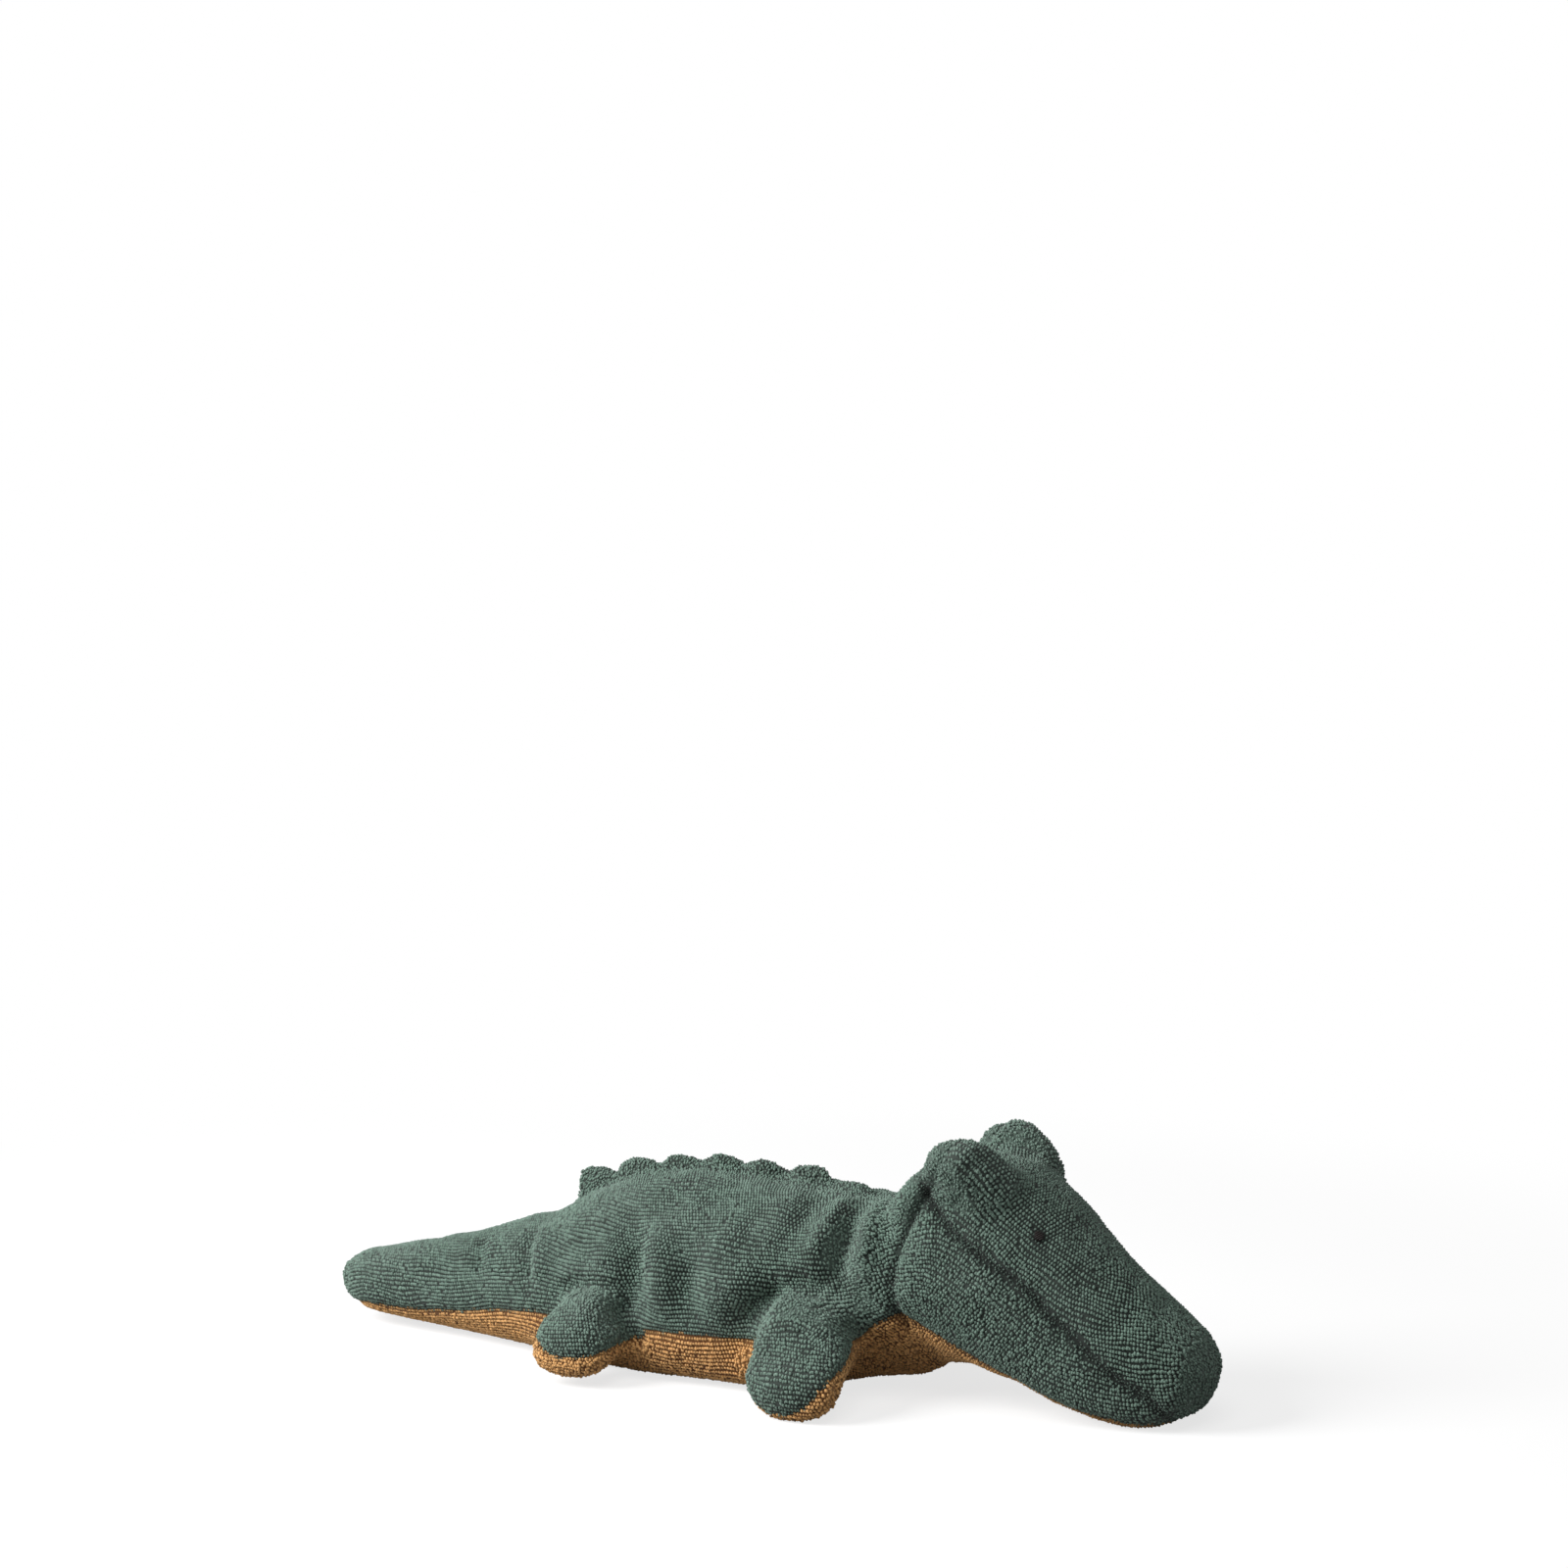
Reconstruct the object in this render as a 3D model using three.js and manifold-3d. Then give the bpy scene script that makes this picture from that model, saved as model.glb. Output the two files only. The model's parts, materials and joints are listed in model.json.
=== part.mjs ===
// Plush crocodile lying on its belly: terry cloth panels sewn over soft stuffing.
// Millimetres. +X runs forward to the snout, +Y to the animal's left, +Z up, and the floor is z = 0.
// Neck, tail and legs are sections that flex at a seam, each round a rounded root of stuffing.

import * as THREE from 'three';
import { mergeVertices } from 'three/addons/utils/BufferGeometryUtils.js';
import Module from 'manifold-3d';

const wasm = await Module();
wasm.setup();
const { Manifold, Mesh: SolidMesh } = wasm;

// Cloth, seams and clearances
const cloth = 2.2; // terry cloth with its loops
const seamGap = 0.3; // between two pieces that touch
const flexGap = 0.3; // round a root where a seam flexes
const flatDepth = 0.5; // how far an underside is pressed flat on the floor
const overrun = 30; // how far a cutting block runs past what it cuts

// How far each seam flexes
const neckTurnDegrees = 20;
const headNodDegrees = 15;
const legSwingDegrees = 20;
const tailSwayDegrees = 18;

// Lengths from root to root along the back
const tailTipLength = 65;
const tailBaseLength = 60;
const torsoLength = 180;
const headLength = 143;

// Torso and tail
const torsoHalfWidth = 49;
const torsoHeight = 89.5;
const chestLift = 5.5; // chest clear of the floor below the neck
const tailTipLevel = 20; // height of the tail's tip
const sideSeamLevel = 25.5; // height of the seam between back and belly

// Neck and head
const neckRadius = 37.5;
const neckLevel = 48; // height of the neck's centre
const headSet = 1; // where the head's edge lies ahead of the neck's centre
const headPitchDegrees = 15; // how far the head points down
const headHalfWidth = 39;
const headHeight = 72; // crown above the neck's centre
const jawDepth = 36; // throat below the neck's centre
const snoutLevel = 11; // tip of the snout, square to the head's line
const eyeBump = { ahead: 21, apart: 26.5, level: 64, length: 19, halfWidth: 14, height: 15 };
const eye = { ahead: 60, apart: 22, radius: 3.2, sink: 1.2 };

// Legs: how far ahead of the tail's root, root level and sizes, how far the foot reaches out, how
// far it sweeps back, its lift off the floor, and the sole seam's depth and tilt
const shoulderSet = 33; // front roots behind the neck's centre
const frontLeg = {
  ahead: torsoLength - shoulderSet,
  level: 26,
  radius: 20,
  halfThickness: 17,
  reach: 38,
  sweep: -5,
  lift: 0,
  seamDepth: 6,
  seamTiltDegrees: 14,
};
const hindLeg = {
  ahead: 40,
  level: 24,
  radius: 16.5,
  halfThickness: 16,
  reach: 31,
  sweep: 5,
  lift: 4.5,
  seamDepth: 4,
  seamTiltDegrees: 0,
};

// Scalloped strip along the back, from its first scallop ahead of the tail's root to its last behind
// the neck's centre, with the lap of each scallop over the next
const scutes = { start: 18, end: 34.2, rise: 11, sink: 4, halfThickness: 4.5, lap: 2.55 };

// Facets round a section, which the stuffing inside has half of
const trunkSides = 14;
const headSides = 14;
const legSides = 8;
const neckSides = 28;
const tailRootSides = 20;
const rootSides = 12;
const bumpSides = 12;
const scuteSides = 8;
const beadSides = 8;

// Trunk sections, tail tip to neck: place along the tail or torso, half width and top as shares of
// the torso's, bottom as a share of the tip's level or the chest's lift, the widest level as a share
// of the section's height, and how much of the belly's squareness it has
const tailSectionShares = [
  [0.985, 0.15, 0.3, 0.65, 0.5, 0],
  [0.94, 0.25, 0.345, 0.46, 0.5, 0],
  [0.87, 0.32, 0.385, 0.34, 0.48, 0],
  [0.7, 0.39, 0.44, 0.24, 0.46, 0],
  [0.52, 0.45, 0.496, 0.17, 0.45, 0],
  [0.34, 0.52, 0.56, 0.1, 0.44, 0],
  [0.18, 0.61, 0.64, 0.04, 0.43, 0.1],
];
const torsoSectionShares = [
  [0, 0.72, 0.725, 0, 0.42, 0.3],
  [0.1, 0.83, 0.84, 0, 0.41, 0.7],
  [0.22, 0.92, 0.94, 0, 0.39, 1],
  [0.36, 0.98, 0.985, 0, 0.38, 1],
  [0.52, 1, 1, 0, 0.39, 1],
  [0.66, 0.99, 0.99, 0.02, 0.41, 1],
  [0.78, 0.94, 0.97, 0.35, 0.43, 0.7],
  [0.87, 0.87, 0.96, 0.85, 0.45, 0.3],
  [0.94, 0.8, 0.975, 0.98, 0.46, 0],
  [1, 0.77, 0.99, 1, 0.47, 0],
];
// Side seam: place along the tail or torso, and height as a share of the seam's level
const tailSeamShares = [
  [1.2, 0.4],
  [0.6, 0.4],
  [0.25, 0.66],
];
const torsoSeamShares = [
  [0, 0.85],
  [0.3, 0.98],
  [0.7, 1],
  [0.86, 1.18],
  [1.04, 1.65],
  [1.4, 2.6],
];
// Head sections, neck to snout: place along the head, half width, top and bottom as shares of the
// head's half width, height and jaw depth, and the widest level as a share of the head's height
const headSectionShares = [
  [-0.02, 0.86, 0.5, 0.84, 0.05],
  [0.02, 0.95, 0.7, 0.91, 0.08],
  [0.07, 1, 0.88, 0.88, 0.15],
  [0.12, 1.01, 0.97, 0.83, 0.22],
  [0.18, 1.01, 1.01, 0.74, 0.25],
  [0.28, 1, 1.01, 0.66, 0.25],
  [0.4, 0.96, 0.92, 0.67, 0.21],
  [0.56, 0.89, 0.71, 0.71, 0.14],
  [0.73, 0.8, 0.53, 0.66, 0.07],
  [0.86, 0.71, 0.41, 0.48, 0.03],
  [0.94, 0.6, 0.33, 0.28, 0.05],
  [0.985, 0.39, 0.23, 0.12, 0.1],
];
// Cheek seam between crown and cheek, and chin seam between cheek and jaw: place along the head,
// and height as a share of the head's height
const cheekSeamShares = [
  [-0.3, 1.2],
  [0.08, 0.76],
  [0.2, 0.57],
  [0.31, 0.45],
  [0.55, 0.27],
  [0.79, 0.07],
  [0.88, 0],
  [0.93, -0.17],
  [1.3, -0.15],
];
const chinSeamShares = [
  [-0.3, -0.05],
  [0.07, -0.08],
  [0.36, -0.14],
  [0.53, -0.19],
  [0.69, -0.22],
  [0.84, -0.2],
  [0.93, -0.17],
  [1.3, -0.15],
];
// Leg sections outward from the root: place along the reach, width and thickness as shares of the
// root's, and how far the section has dropped to the foot's level
const legSectionShares = [
  [0.26, 1.1, 0.95, 0.08],
  [0.5, 1.17, 0.88, 0.42],
  [0.7, 1.08, 0.78, 0.8],
  [0.87, 0.83, 0.6, 0.98],
  [0.97, 0.45, 0.34, 1],
];
const footShare = 0.7; // half thickness of the foot over the root's
const legSeamShares = [
  [-2, 0],
  [0.26, 0.08],
  [0.7, 0.8],
  [2, 1],
];
// Height of each scallop, tail to neck, as a share of the strip's rise
const scuteRiseShares = [1, 0.73, 0.75, 0.73, 0.73, 0.9, 0.5];
// Roundness of a section's halves: 2 is an ellipse, and more is squarer
const trunkRoundness = [2.15, 2.2];
const bellyRoundness = 4.2;
const headRoundness = [2.6, 2.3];
const legRoundness = [2.15, 2.3];

// Places of the roots, with the whole animal centred on the origin
const tailLength = tailTipLength + tailBaseLength;
const pitchAngle = THREE.MathUtils.degToRad(headPitchDegrees);
const noseReach = headLength * Math.cos(pitchAngle) + snoutLevel * Math.sin(pitchAngle);
const tailEndX = -(tailLength + torsoLength + noseReach) / 2;
const tailMidX = tailEndX + tailTipLength;
const tailRootX = tailMidX + tailBaseLength;
const neckX = tailRootX + torsoLength;
const spread = tailLength + torsoLength + headLength + overrun;

const terryGreen = new THREE.MeshStandardMaterial({ color: 0x5b7466, roughness: 0.95, metalness: 0 });
const terryTan = new THREE.MeshStandardMaterial({ color: 0xa97a4a, roughness: 0.95, metalness: 0 });
const stuffing = new THREE.MeshStandardMaterial({ color: 0xefece4, roughness: 1, metalness: 0 });
const thread = new THREE.MeshStandardMaterial({ color: 0x2b211b, roughness: 0.8, metalness: 0 });

// A solid from closed three.js geometry
function solid(geometry) {
  const bare = geometry.clone();
  bare.deleteAttribute('normal');
  bare.deleteAttribute('uv');
  const merged = mergeVertices(bare);
  return new Manifold(
    new SolidMesh({
      numProp: 3,
      vertProperties: new Float32Array(merged.attributes.position.array),
      triVerts: new Uint32Array(merged.index.array),
    }),
  );
}

// The geometry of a solid, without the slivers that a cut can leave beside it
function geometryOf(body) {
  const parts = body.decompose();
  const main = parts.reduce((best, part) => (part.volume() > best.volume() ? part : best));
  const mesh = main.getMesh();
  const geometry = new THREE.BufferGeometry();
  geometry.setAttribute('position', new THREE.BufferAttribute(new Float32Array(mesh.vertProperties), 3));
  geometry.setIndex(new THREE.BufferAttribute(new Uint32Array(mesh.triVerts), 1));
  geometry.computeVertexNormals();
  return geometry;
}

function enclosedVolume(points, faces) {
  const cross = new THREE.Vector3();
  return faces.reduce(
    (sum, [a, b, c]) => sum + cross.crossVectors(points[b], points[c]).dot(points[a]) / 6,
    0,
  );
}

// A closed surface over rings of points, drawn in to a pole at each end
function loft(rings, startPole, endPole) {
  const sides = rings[0].length;
  const points = [startPole, ...rings.flat(), endPole];
  const last = points.length - 1;
  const faces = [];
  for (let side = 0; side < sides; side += 1) {
    const next = (side + 1) % sides;
    faces.push([0, 1 + next, 1 + side]);
    faces.push([last, last - sides + side, last - sides + next]);
    for (let ring = 0; ring + 1 < rings.length; ring += 1) {
      const here = 1 + ring * sides;
      const ahead = here + sides;
      faces.push([here + side, here + next, ahead + next]);
      faces.push([here + side, ahead + next, ahead + side]);
    }
  }
  const facesOut = enclosedVolume(points, faces) > 0;
  const geometry = new THREE.BufferGeometry();
  const places = points.flatMap((point) => point.toArray());
  geometry.setAttribute('position', new THREE.Float32BufferAttribute(places, 3));
  geometry.setIndex(faces.flatMap(([a, b, c]) => (facesOut ? [a, b, c] : [a, c, b])));
  return geometry;
}

// A rounded outline as [across, up] pairs round its widest level
function oval(halfWidth, up, down, roundness, sides) {
  return Array.from({ length: sides }, (_, index) => {
    const angle = (2 * Math.PI * index) / sides;
    const across = Math.cos(angle);
    const rise = Math.sin(angle);
    const power = 2 / (rise >= 0 ? roundness[0] : roundness[1]);
    const reach = rise >= 0 ? up : down;
    return [
      halfWidth * Math.sign(across) * Math.abs(across) ** power,
      reach * Math.sign(rise) * Math.abs(rise) ** power,
    ];
  });
}

function spheroid(radii, centre, sides) {
  const geometry = new THREE.SphereGeometry(1, sides, sides / 2);
  geometry.rotateX(Math.PI / 2);
  geometry.scale(radii.x, radii.y, radii.z);
  return geometry.translate(centre.x, centre.y, centre.z);
}

// A root of stuffing is round about its vertical axis, so that it turns in place
function rootBall({ centre, radius, halfHeight, sides }, inset, fineness) {
  const radii = new THREE.Vector3(radius, radius, halfHeight).subScalar(inset);
  return solid(spheroid(radii, centre, sides * fineness));
}

// A socket clears the root's corners as they turn round its axis, or round any axis
function socket(root, axes = 1) {
  const clear = 1 / Math.cos(Math.PI / root.sides) ** axes;
  const radii = new THREE.Vector3(root.radius, root.radius, root.halfHeight).addScalar(flexGap);
  radii.multiply(new THREE.Vector3(clear, clear, clear ** (axes - 1)));
  return solid(spheroid(radii, root.centre, root.sides));
}

function block(min, max) {
  const size = new THREE.Vector3().subVectors(max, min);
  const centre = new THREE.Vector3().addVectors(min, max).divideScalar(2);
  const geometry = new THREE.BoxGeometry(size.x, size.y, size.z);
  return solid(geometry.translate(centre.x, centre.y, centre.z));
}

function slab(fromX, toX) {
  return block(new THREE.Vector3(fromX, -spread, -spread), new THREE.Vector3(toX, spread, spread));
}

function aboveLevel(level) {
  return block(new THREE.Vector3(-spread, -spread, level), new THREE.Vector3(spread, spread, spread));
}

// Everything on one side of a seam that follows [x, z] points and runs straight across Y
function seamGeometry(points, isAbove) {
  const shift = isAbove ? seamGap / 2 : -seamGap / 2;
  const edge = isAbove ? spread : -spread;
  const shape = new THREE.Shape(points.map(([x, z]) => new THREE.Vector2(x, z + shift)));
  shape.lineTo(points[points.length - 1][0], edge);
  shape.lineTo(points[0][0], edge);
  const geometry = new THREE.ExtrudeGeometry(shape, { depth: 2 * spread, bevelEnabled: false });
  geometry.rotateX(Math.PI / 2);
  return geometry.translate(0, spread, 0);
}

// How far an edge stands off the root's centre, so that two edges just meet when the seam flexes
function edgeOffset(halfWidth, degrees) {
  return halfWidth * Math.tan(THREE.MathUtils.degToRad(degrees / 2)) + flexGap;
}

// How much of a root's cloth waits behind its parent's edge
function tuckedReach(radius, degrees) {
  return radius * Math.sin(THREE.MathUtils.degToRad(degrees)) + cloth;
}

// Trunk: tail, torso and neck as one form, drawn in by an inset for the cloth's inner face
function trunkSections(inset) {
  const section = (x, lift, [width, top, bottom, level, squareness]) => {
    const low = lift * bottom - flatDepth + inset;
    const crest = torsoHeight * top - inset;
    const [upper, lower] = trunkRoundness;
    return {
      x,
      halfWidth: torsoHalfWidth * width - inset,
      top: crest,
      bottom: low,
      level: THREE.MathUtils.lerp(low, crest, level),
      roundness: [upper, THREE.MathUtils.lerp(lower, bellyRoundness, squareness)],
    };
  };
  const tail = tailSectionShares.map(([along, ...shares]) =>
    section(tailRootX - (tailLength - inset) * along, tailTipLevel, shares),
  );
  const torso = torsoSectionShares.map(([along, ...shares]) =>
    section(tailRootX + torsoLength * along, chestLift + flatDepth, shares),
  );
  return [...tail, ...torso];
}

function trunk(inset, fineness = 1) {
  const sections = trunkSections(inset);
  const rings = sections.map(({ x, halfWidth, top, bottom, level, roundness }) =>
    oval(halfWidth, top - level, level - bottom, roundness, trunkSides * fineness).map(
      ([across, up]) => new THREE.Vector3(x, across, level + up),
    ),
  );
  const front = sections[sections.length - 1];
  const startPole = new THREE.Vector3(tailEndX + inset, 0, tailTipLevel);
  return solid(loft(rings, startPole, new THREE.Vector3(front.x, 0, front.level)));
}

// The trunk's half width, top and bottom at one place along it
function trunkAt(x) {
  const sections = trunkSections(0);
  const next = sections.findIndex((section) => section.x > x);
  const [before, after] = [sections[next - 1], sections[next]];
  const share = (x - before.x) / (after.x - before.x);
  const between = (key) => THREE.MathUtils.lerp(before[key], after[key], share);
  return { halfWidth: between('halfWidth'), top: between('top'), bottom: between('bottom') };
}

// The root at a place where the trunk itself flexes, as large as the trunk is there
function trunkRoot(x, sides) {
  const { halfWidth, top, bottom } = trunkAt(x);
  return {
    centre: new THREE.Vector3(x, 0, (top + bottom) / 2),
    radius: halfWidth,
    halfHeight: (top - bottom) / 2,
    edge: edgeOffset(halfWidth, tailSwayDegrees),
    sides,
  };
}

const tailRoot = trunkRoot(tailRootX, tailRootSides);
const tailMid = trunkRoot(tailMidX, rootSides);
const neck = {
  centre: new THREE.Vector3(neckX, 0, neckLevel),
  radius: neckRadius,
  halfHeight: neckRadius,
  sides: neckSides,
};
const neckEdgeX = neckX + headSet - 2 * edgeOffset(neckRadius, neckTurnDegrees);

// Cloth cover and stuffing of a section, from its form at each inset and fineness
function layersOf(form) {
  const [cover, lining, core] = [
    [0, 1],
    [cloth, 1],
    [cloth + seamGap, 1 / 2],
  ].map(([inset, fineness]) => form(inset, fineness).intersect(aboveLevel(inset)));
  return { cloth: cover.subtract(lining), core };
}

function seamPoints() {
  const tail = tailSeamShares.map(([along, level]) => [tailRootX - tailLength * along, sideSeamLevel * level]);
  const torso = torsoSeamShares.map(([along, level]) => [
    tailRootX + torsoLength * along,
    sideSeamLevel * level,
  ]);
  return [...tail, ...torso];
}

const aboveSideSeam = solid(seamGeometry(seamPoints(), true));
const belowSideSeam = solid(seamGeometry(seamPoints(), false));

// Groups sit at the roots, and each piece is placed from its group
const crocodile = new THREE.Group();

function addGroup(parent, centre) {
  const group = new THREE.Group();
  group.position.copy(parent.worldToLocal(centre.clone()));
  parent.add(group);
  group.updateWorldMatrix(true, false);
  return group;
}

function addPiece(group, name, body, material) {
  const geometry = geometryOf(body).applyMatrix4(group.matrixWorld.clone().invert());
  const mesh = new THREE.Mesh(geometry, material);
  mesh.name = name;
  group.add(mesh);
}

function addTrunkPieces(group, name, { cloth: shell, core }) {
  addPiece(group, `${name}_back_panel`, shell.intersect(aboveSideSeam), terryGreen);
  addPiece(group, `${name}_belly_panel`, shell.intersect(belowSideSeam), terryTan);
  addPiece(group, `${name}_stuffing`, core, stuffing);
}

// Legs
function legRoot(leg, side) {
  const x = tailRootX + leg.ahead;
  return {
    centre: new THREE.Vector3(x, side * trunkAt(x).halfWidth, leg.level),
    radius: leg.radius,
    halfHeight: leg.halfThickness,
    sides: rootSides,
  };
}

// Height of a leg's middle as it drops from its root to its foot
function legLevel(leg, dropped) {
  return THREE.MathUtils.lerp(leg.level, leg.lift - flatDepth + leg.halfThickness * footShare, dropped);
}

function legForm(leg, side, inset, fineness) {
  const root = legRoot(leg, side);
  const reach = side * (leg.reach - inset);
  const rings = legSectionShares.map(([along, width, thickness, dropped]) => {
    const middle = new THREE.Vector3(-leg.sweep * along, reach * along, 0).add(root.centre);
    const half = leg.halfThickness * thickness - inset;
    return oval(leg.radius * width - inset, half, half, legRoundness, legSides * fineness).map(
      ([across, up]) => new THREE.Vector3(middle.x + across, middle.y, legLevel(leg, dropped) + up),
    );
  });
  const tip = new THREE.Vector3(root.centre.x - leg.sweep, root.centre.y + reach, legLevel(leg, 1));
  return solid(loft(rings, root.centre, tip)).add(rootBall(root, inset, fineness));
}

function legSeam(leg, side, isAbove) {
  const { centre } = legRoot(leg, side);
  const points = legSeamShares.map(([along, dropped]) => [
    leg.reach * along,
    legLevel(leg, dropped) - leg.seamDepth,
  ]);
  const geometry = seamGeometry(points, isAbove);
  geometry.rotateX(-side * THREE.MathUtils.degToRad(leg.seamTiltDegrees));
  geometry.rotateZ((side * Math.PI) / 2);
  return solid(geometry.translate(centre.x, centre.y, 0));
}

function addLeg(parent, name, leg, side) {
  const { centre, radius } = legRoot(leg, side);
  const group = addGroup(parent, centre);
  const tuck = centre.y - side * tuckedReach(radius, legSwingDegrees);
  const outside = block(
    new THREE.Vector3(-spread, Math.min(tuck, side * spread), -spread),
    new THREE.Vector3(spread, Math.max(tuck, side * spread), spread),
  );
  const layers = layersOf((inset, fineness) => legForm(leg, side, inset, fineness));
  const shell = layers.cloth.intersect(outside);
  addPiece(group, `${name}_upper`, shell.intersect(legSeam(leg, side, true)), terryGreen);
  addPiece(group, `${name}_sole`, shell.intersect(legSeam(leg, side, false)), terryTan);
  addPiece(group, `${name}_stuffing`, layers.core, stuffing);
}

// Head, modelled along its own line from the neck's centre
const headPlace = new THREE.Matrix4().makeRotationY(pitchAngle).setPosition(neck.centre);

function headOutline([, width, top, bottom, level], inset) {
  const widest = headHeight * level;
  return {
    widest,
    halfWidth: headHalfWidth * width - inset,
    up: headHeight * top - widest - inset,
    down: widest + jawDepth * bottom - inset,
  };
}

function headForm(inset, fineness = 1) {
  const length = headLength - 2 * inset;
  const rings = headSectionShares.map((shares) => {
    const { widest, halfWidth, up, down } = headOutline(shares, inset);
    return oval(halfWidth, up, down, headRoundness, headSides * fineness).map(
      ([across, rise]) => new THREE.Vector3(inset + length * shares[0], across, widest + rise),
    );
  });
  const start = headOutline(headSectionShares[0], inset).widest;
  const startPole = new THREE.Vector3(inset - neckRadius / 4, 0, start);
  const endPole = new THREE.Vector3(inset + length, 0, snoutLevel);
  const skull = solid(loft(rings, startPole, endPole).applyMatrix4(headPlace));
  const radii = new THREE.Vector3(eyeBump.length, eyeBump.halfWidth, eyeBump.height).subScalar(inset);
  return [-1, 1].reduce((head, side) => {
    const centre = new THREE.Vector3(eyeBump.ahead, side * eyeBump.apart, eyeBump.level);
    return head.add(solid(spheroid(radii, centre, bumpSides * fineness).applyMatrix4(headPlace)));
  }, skull);
}

// Height of the head's upper surface at a place ahead of the neck and out from the middle
function headSurface(ahead, apart) {
  const next = headSectionShares.findIndex(([along]) => along * headLength > ahead);
  const [before, after] = [headSectionShares[next - 1], headSectionShares[next]];
  const share = (ahead / headLength - before[0]) / (after[0] - before[0]);
  const shares = before.map((value, index) => THREE.MathUtils.lerp(value, after[index], share));
  const { widest, halfWidth, up } = headOutline(shares, 0);
  const [roundness] = headRoundness;
  return widest + up * (1 - (apart / halfWidth) ** roundness) ** (1 / roundness);
}

function headSeam(seamShares, isAbove) {
  const points = seamShares.map(([along, level]) => [headLength * along, headHeight * level]);
  return solid(seamGeometry(points, isAbove).applyMatrix4(headPlace));
}

function addHead(parent) {
  const group = new THREE.Group();
  group.applyMatrix4(parent.matrixWorld.clone().invert().multiply(headPlace));
  parent.add(group);
  group.updateWorldMatrix(true, false);
  const neckSocket = socket(neck, 2);
  const layers = layersOf(headForm);
  const shell = layers.cloth.subtract(neckSocket);
  const cheeks = shell.intersect(headSeam(cheekSeamShares, false)).intersect(headSeam(chinSeamShares, true));
  addPiece(group, 'head_crown_panel', shell.intersect(headSeam(cheekSeamShares, true)), terryGreen);
  addPiece(group, 'head_jaw_panel', shell.intersect(headSeam(chinSeamShares, false)), terryTan);
  addPiece(group, 'head_stuffing', layers.core.subtract(neckSocket), stuffing);
  const covered = headForm(-seamGap);
  for (const [name, side] of [['left', 1], ['right', -1]]) {
    const half = block(
      new THREE.Vector3(-spread, side > 0 ? seamGap : -spread, -spread),
      new THREE.Vector3(spread, side > 0 ? spread : -seamGap, spread),
    );
    addPiece(group, `head_cheek_panel_${name}`, cheeks.intersect(half), terryGreen);
    const level = headSurface(eye.ahead, eye.apart) - eye.sink;
    const centre = new THREE.Vector3(eye.ahead, side * eye.apart, level);
    const radii = new THREE.Vector3().setScalar(eye.radius);
    const bead = solid(spheroid(radii, centre, beadSides).applyMatrix4(headPlace));
    addPiece(group, `eye_${name}`, bead.subtract(covered), thread);
  }
}

function addNeck(parent) {
  const group = addGroup(parent, neck.centre);
  const layers = layersOf((inset, fineness) => rootBall(neck, inset, fineness));
  const tuckedX = neckEdgeX - tuckedReach(neckRadius, neckTurnDegrees);
  const band = layers.cloth.intersect(slab(tuckedX, neckX + headSet + tuckedReach(neckRadius, headNodDegrees)));
  addTrunkPieces(group, 'neck', { cloth: band, core: layers.core });
  addHead(group);
}

// A length of tail behind the root that it flexes on, and ahead of a place further back
function tailLayers(root, behindX) {
  const untucked = slab(-spread, root.centre.x + tuckedReach(root.radius, tailSwayDegrees));
  const { cloth: shell, core } = layersOf((inset, fineness) => {
    const length = slab(behindX, root.centre.x - root.edge - inset);
    return trunk(inset, fineness).intersect(length).add(rootBall(root, inset, fineness));
  });
  return { cloth: shell.intersect(untucked), core };
}

function addTail(parent) {
  const baseGroup = addGroup(parent, tailRoot.centre);
  const base = tailLayers(tailRoot, tailMid.centre.x + tailMid.edge);
  addTrunkPieces(baseGroup, 'tail_base', {
    cloth: base.cloth.subtract(socket(tailMid)),
    core: base.core.subtract(socket(tailMid)),
  });
  const tipGroup = addGroup(baseGroup, tailMid.centre);
  addTrunkPieces(tipGroup, 'tail_tip', tailLayers(tailMid, -spread));
}

function scuteStrip() {
  const pitch = (torsoLength - scutes.start - scutes.end) / (scuteRiseShares.length - 1);
  const lumps = scuteRiseShares.map((rise, index) => {
    const x = tailRootX + scutes.start + pitch * index;
    const radii = new THREE.Vector3(
      pitch / 2 + scutes.lap,
      scutes.halfThickness,
      scutes.rise * rise + scutes.sink,
    );
    return solid(spheroid(radii, new THREE.Vector3(x, 0, trunkAt(x).top - scutes.sink), scuteSides));
  });
  return lumps.reduce((strip, lump) => strip.add(lump)).subtract(trunk(-seamGap));
}

function addTorso() {
  const legs = [
    ['front_leg_left', frontLeg, 1],
    ['front_leg_right', frontLeg, -1],
    ['hind_leg_left', hindLeg, 1],
    ['hind_leg_right', hindLeg, -1],
  ];
  const sockets = legs.map(([, leg, side]) => socket(legRoot(leg, side)));
  sockets.push(socket(neck), socket(tailRoot));
  const layers = layersOf((inset, fineness) => {
    const length = slab(tailRoot.centre.x + tailRoot.edge + inset, neckEdgeX - inset);
    return trunk(inset, fineness).intersect(length);
  });
  const hollow = (body) => sockets.reduce((rest, cavity) => rest.subtract(cavity), body);
  addTrunkPieces(crocodile, 'torso', { cloth: hollow(layers.cloth), core: hollow(layers.core) });
  addPiece(crocodile, 'back_scute_strip', scuteStrip(), terryGreen);
  legs.forEach(([name, leg, side]) => addLeg(crocodile, name, leg, side));
}

addTorso();
addNeck(crocodile);
addTail(crocodile);

export default crocodile;
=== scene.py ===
"""Plush crocodile in terry cloth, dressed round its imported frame.

The cover is one skin, grown round the lofts of the trunk, head and legs, then creased, folded and cut
into the panels that each body of the frame carries. A pile of yarn loops stands on every panel.
Shapes are worked out in millimetres and become metres when a piece is made.
"""

import json
import logging
import math
from collections.abc import Callable
from dataclasses import dataclass, field
from enum import Enum
from functools import cached_property

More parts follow.
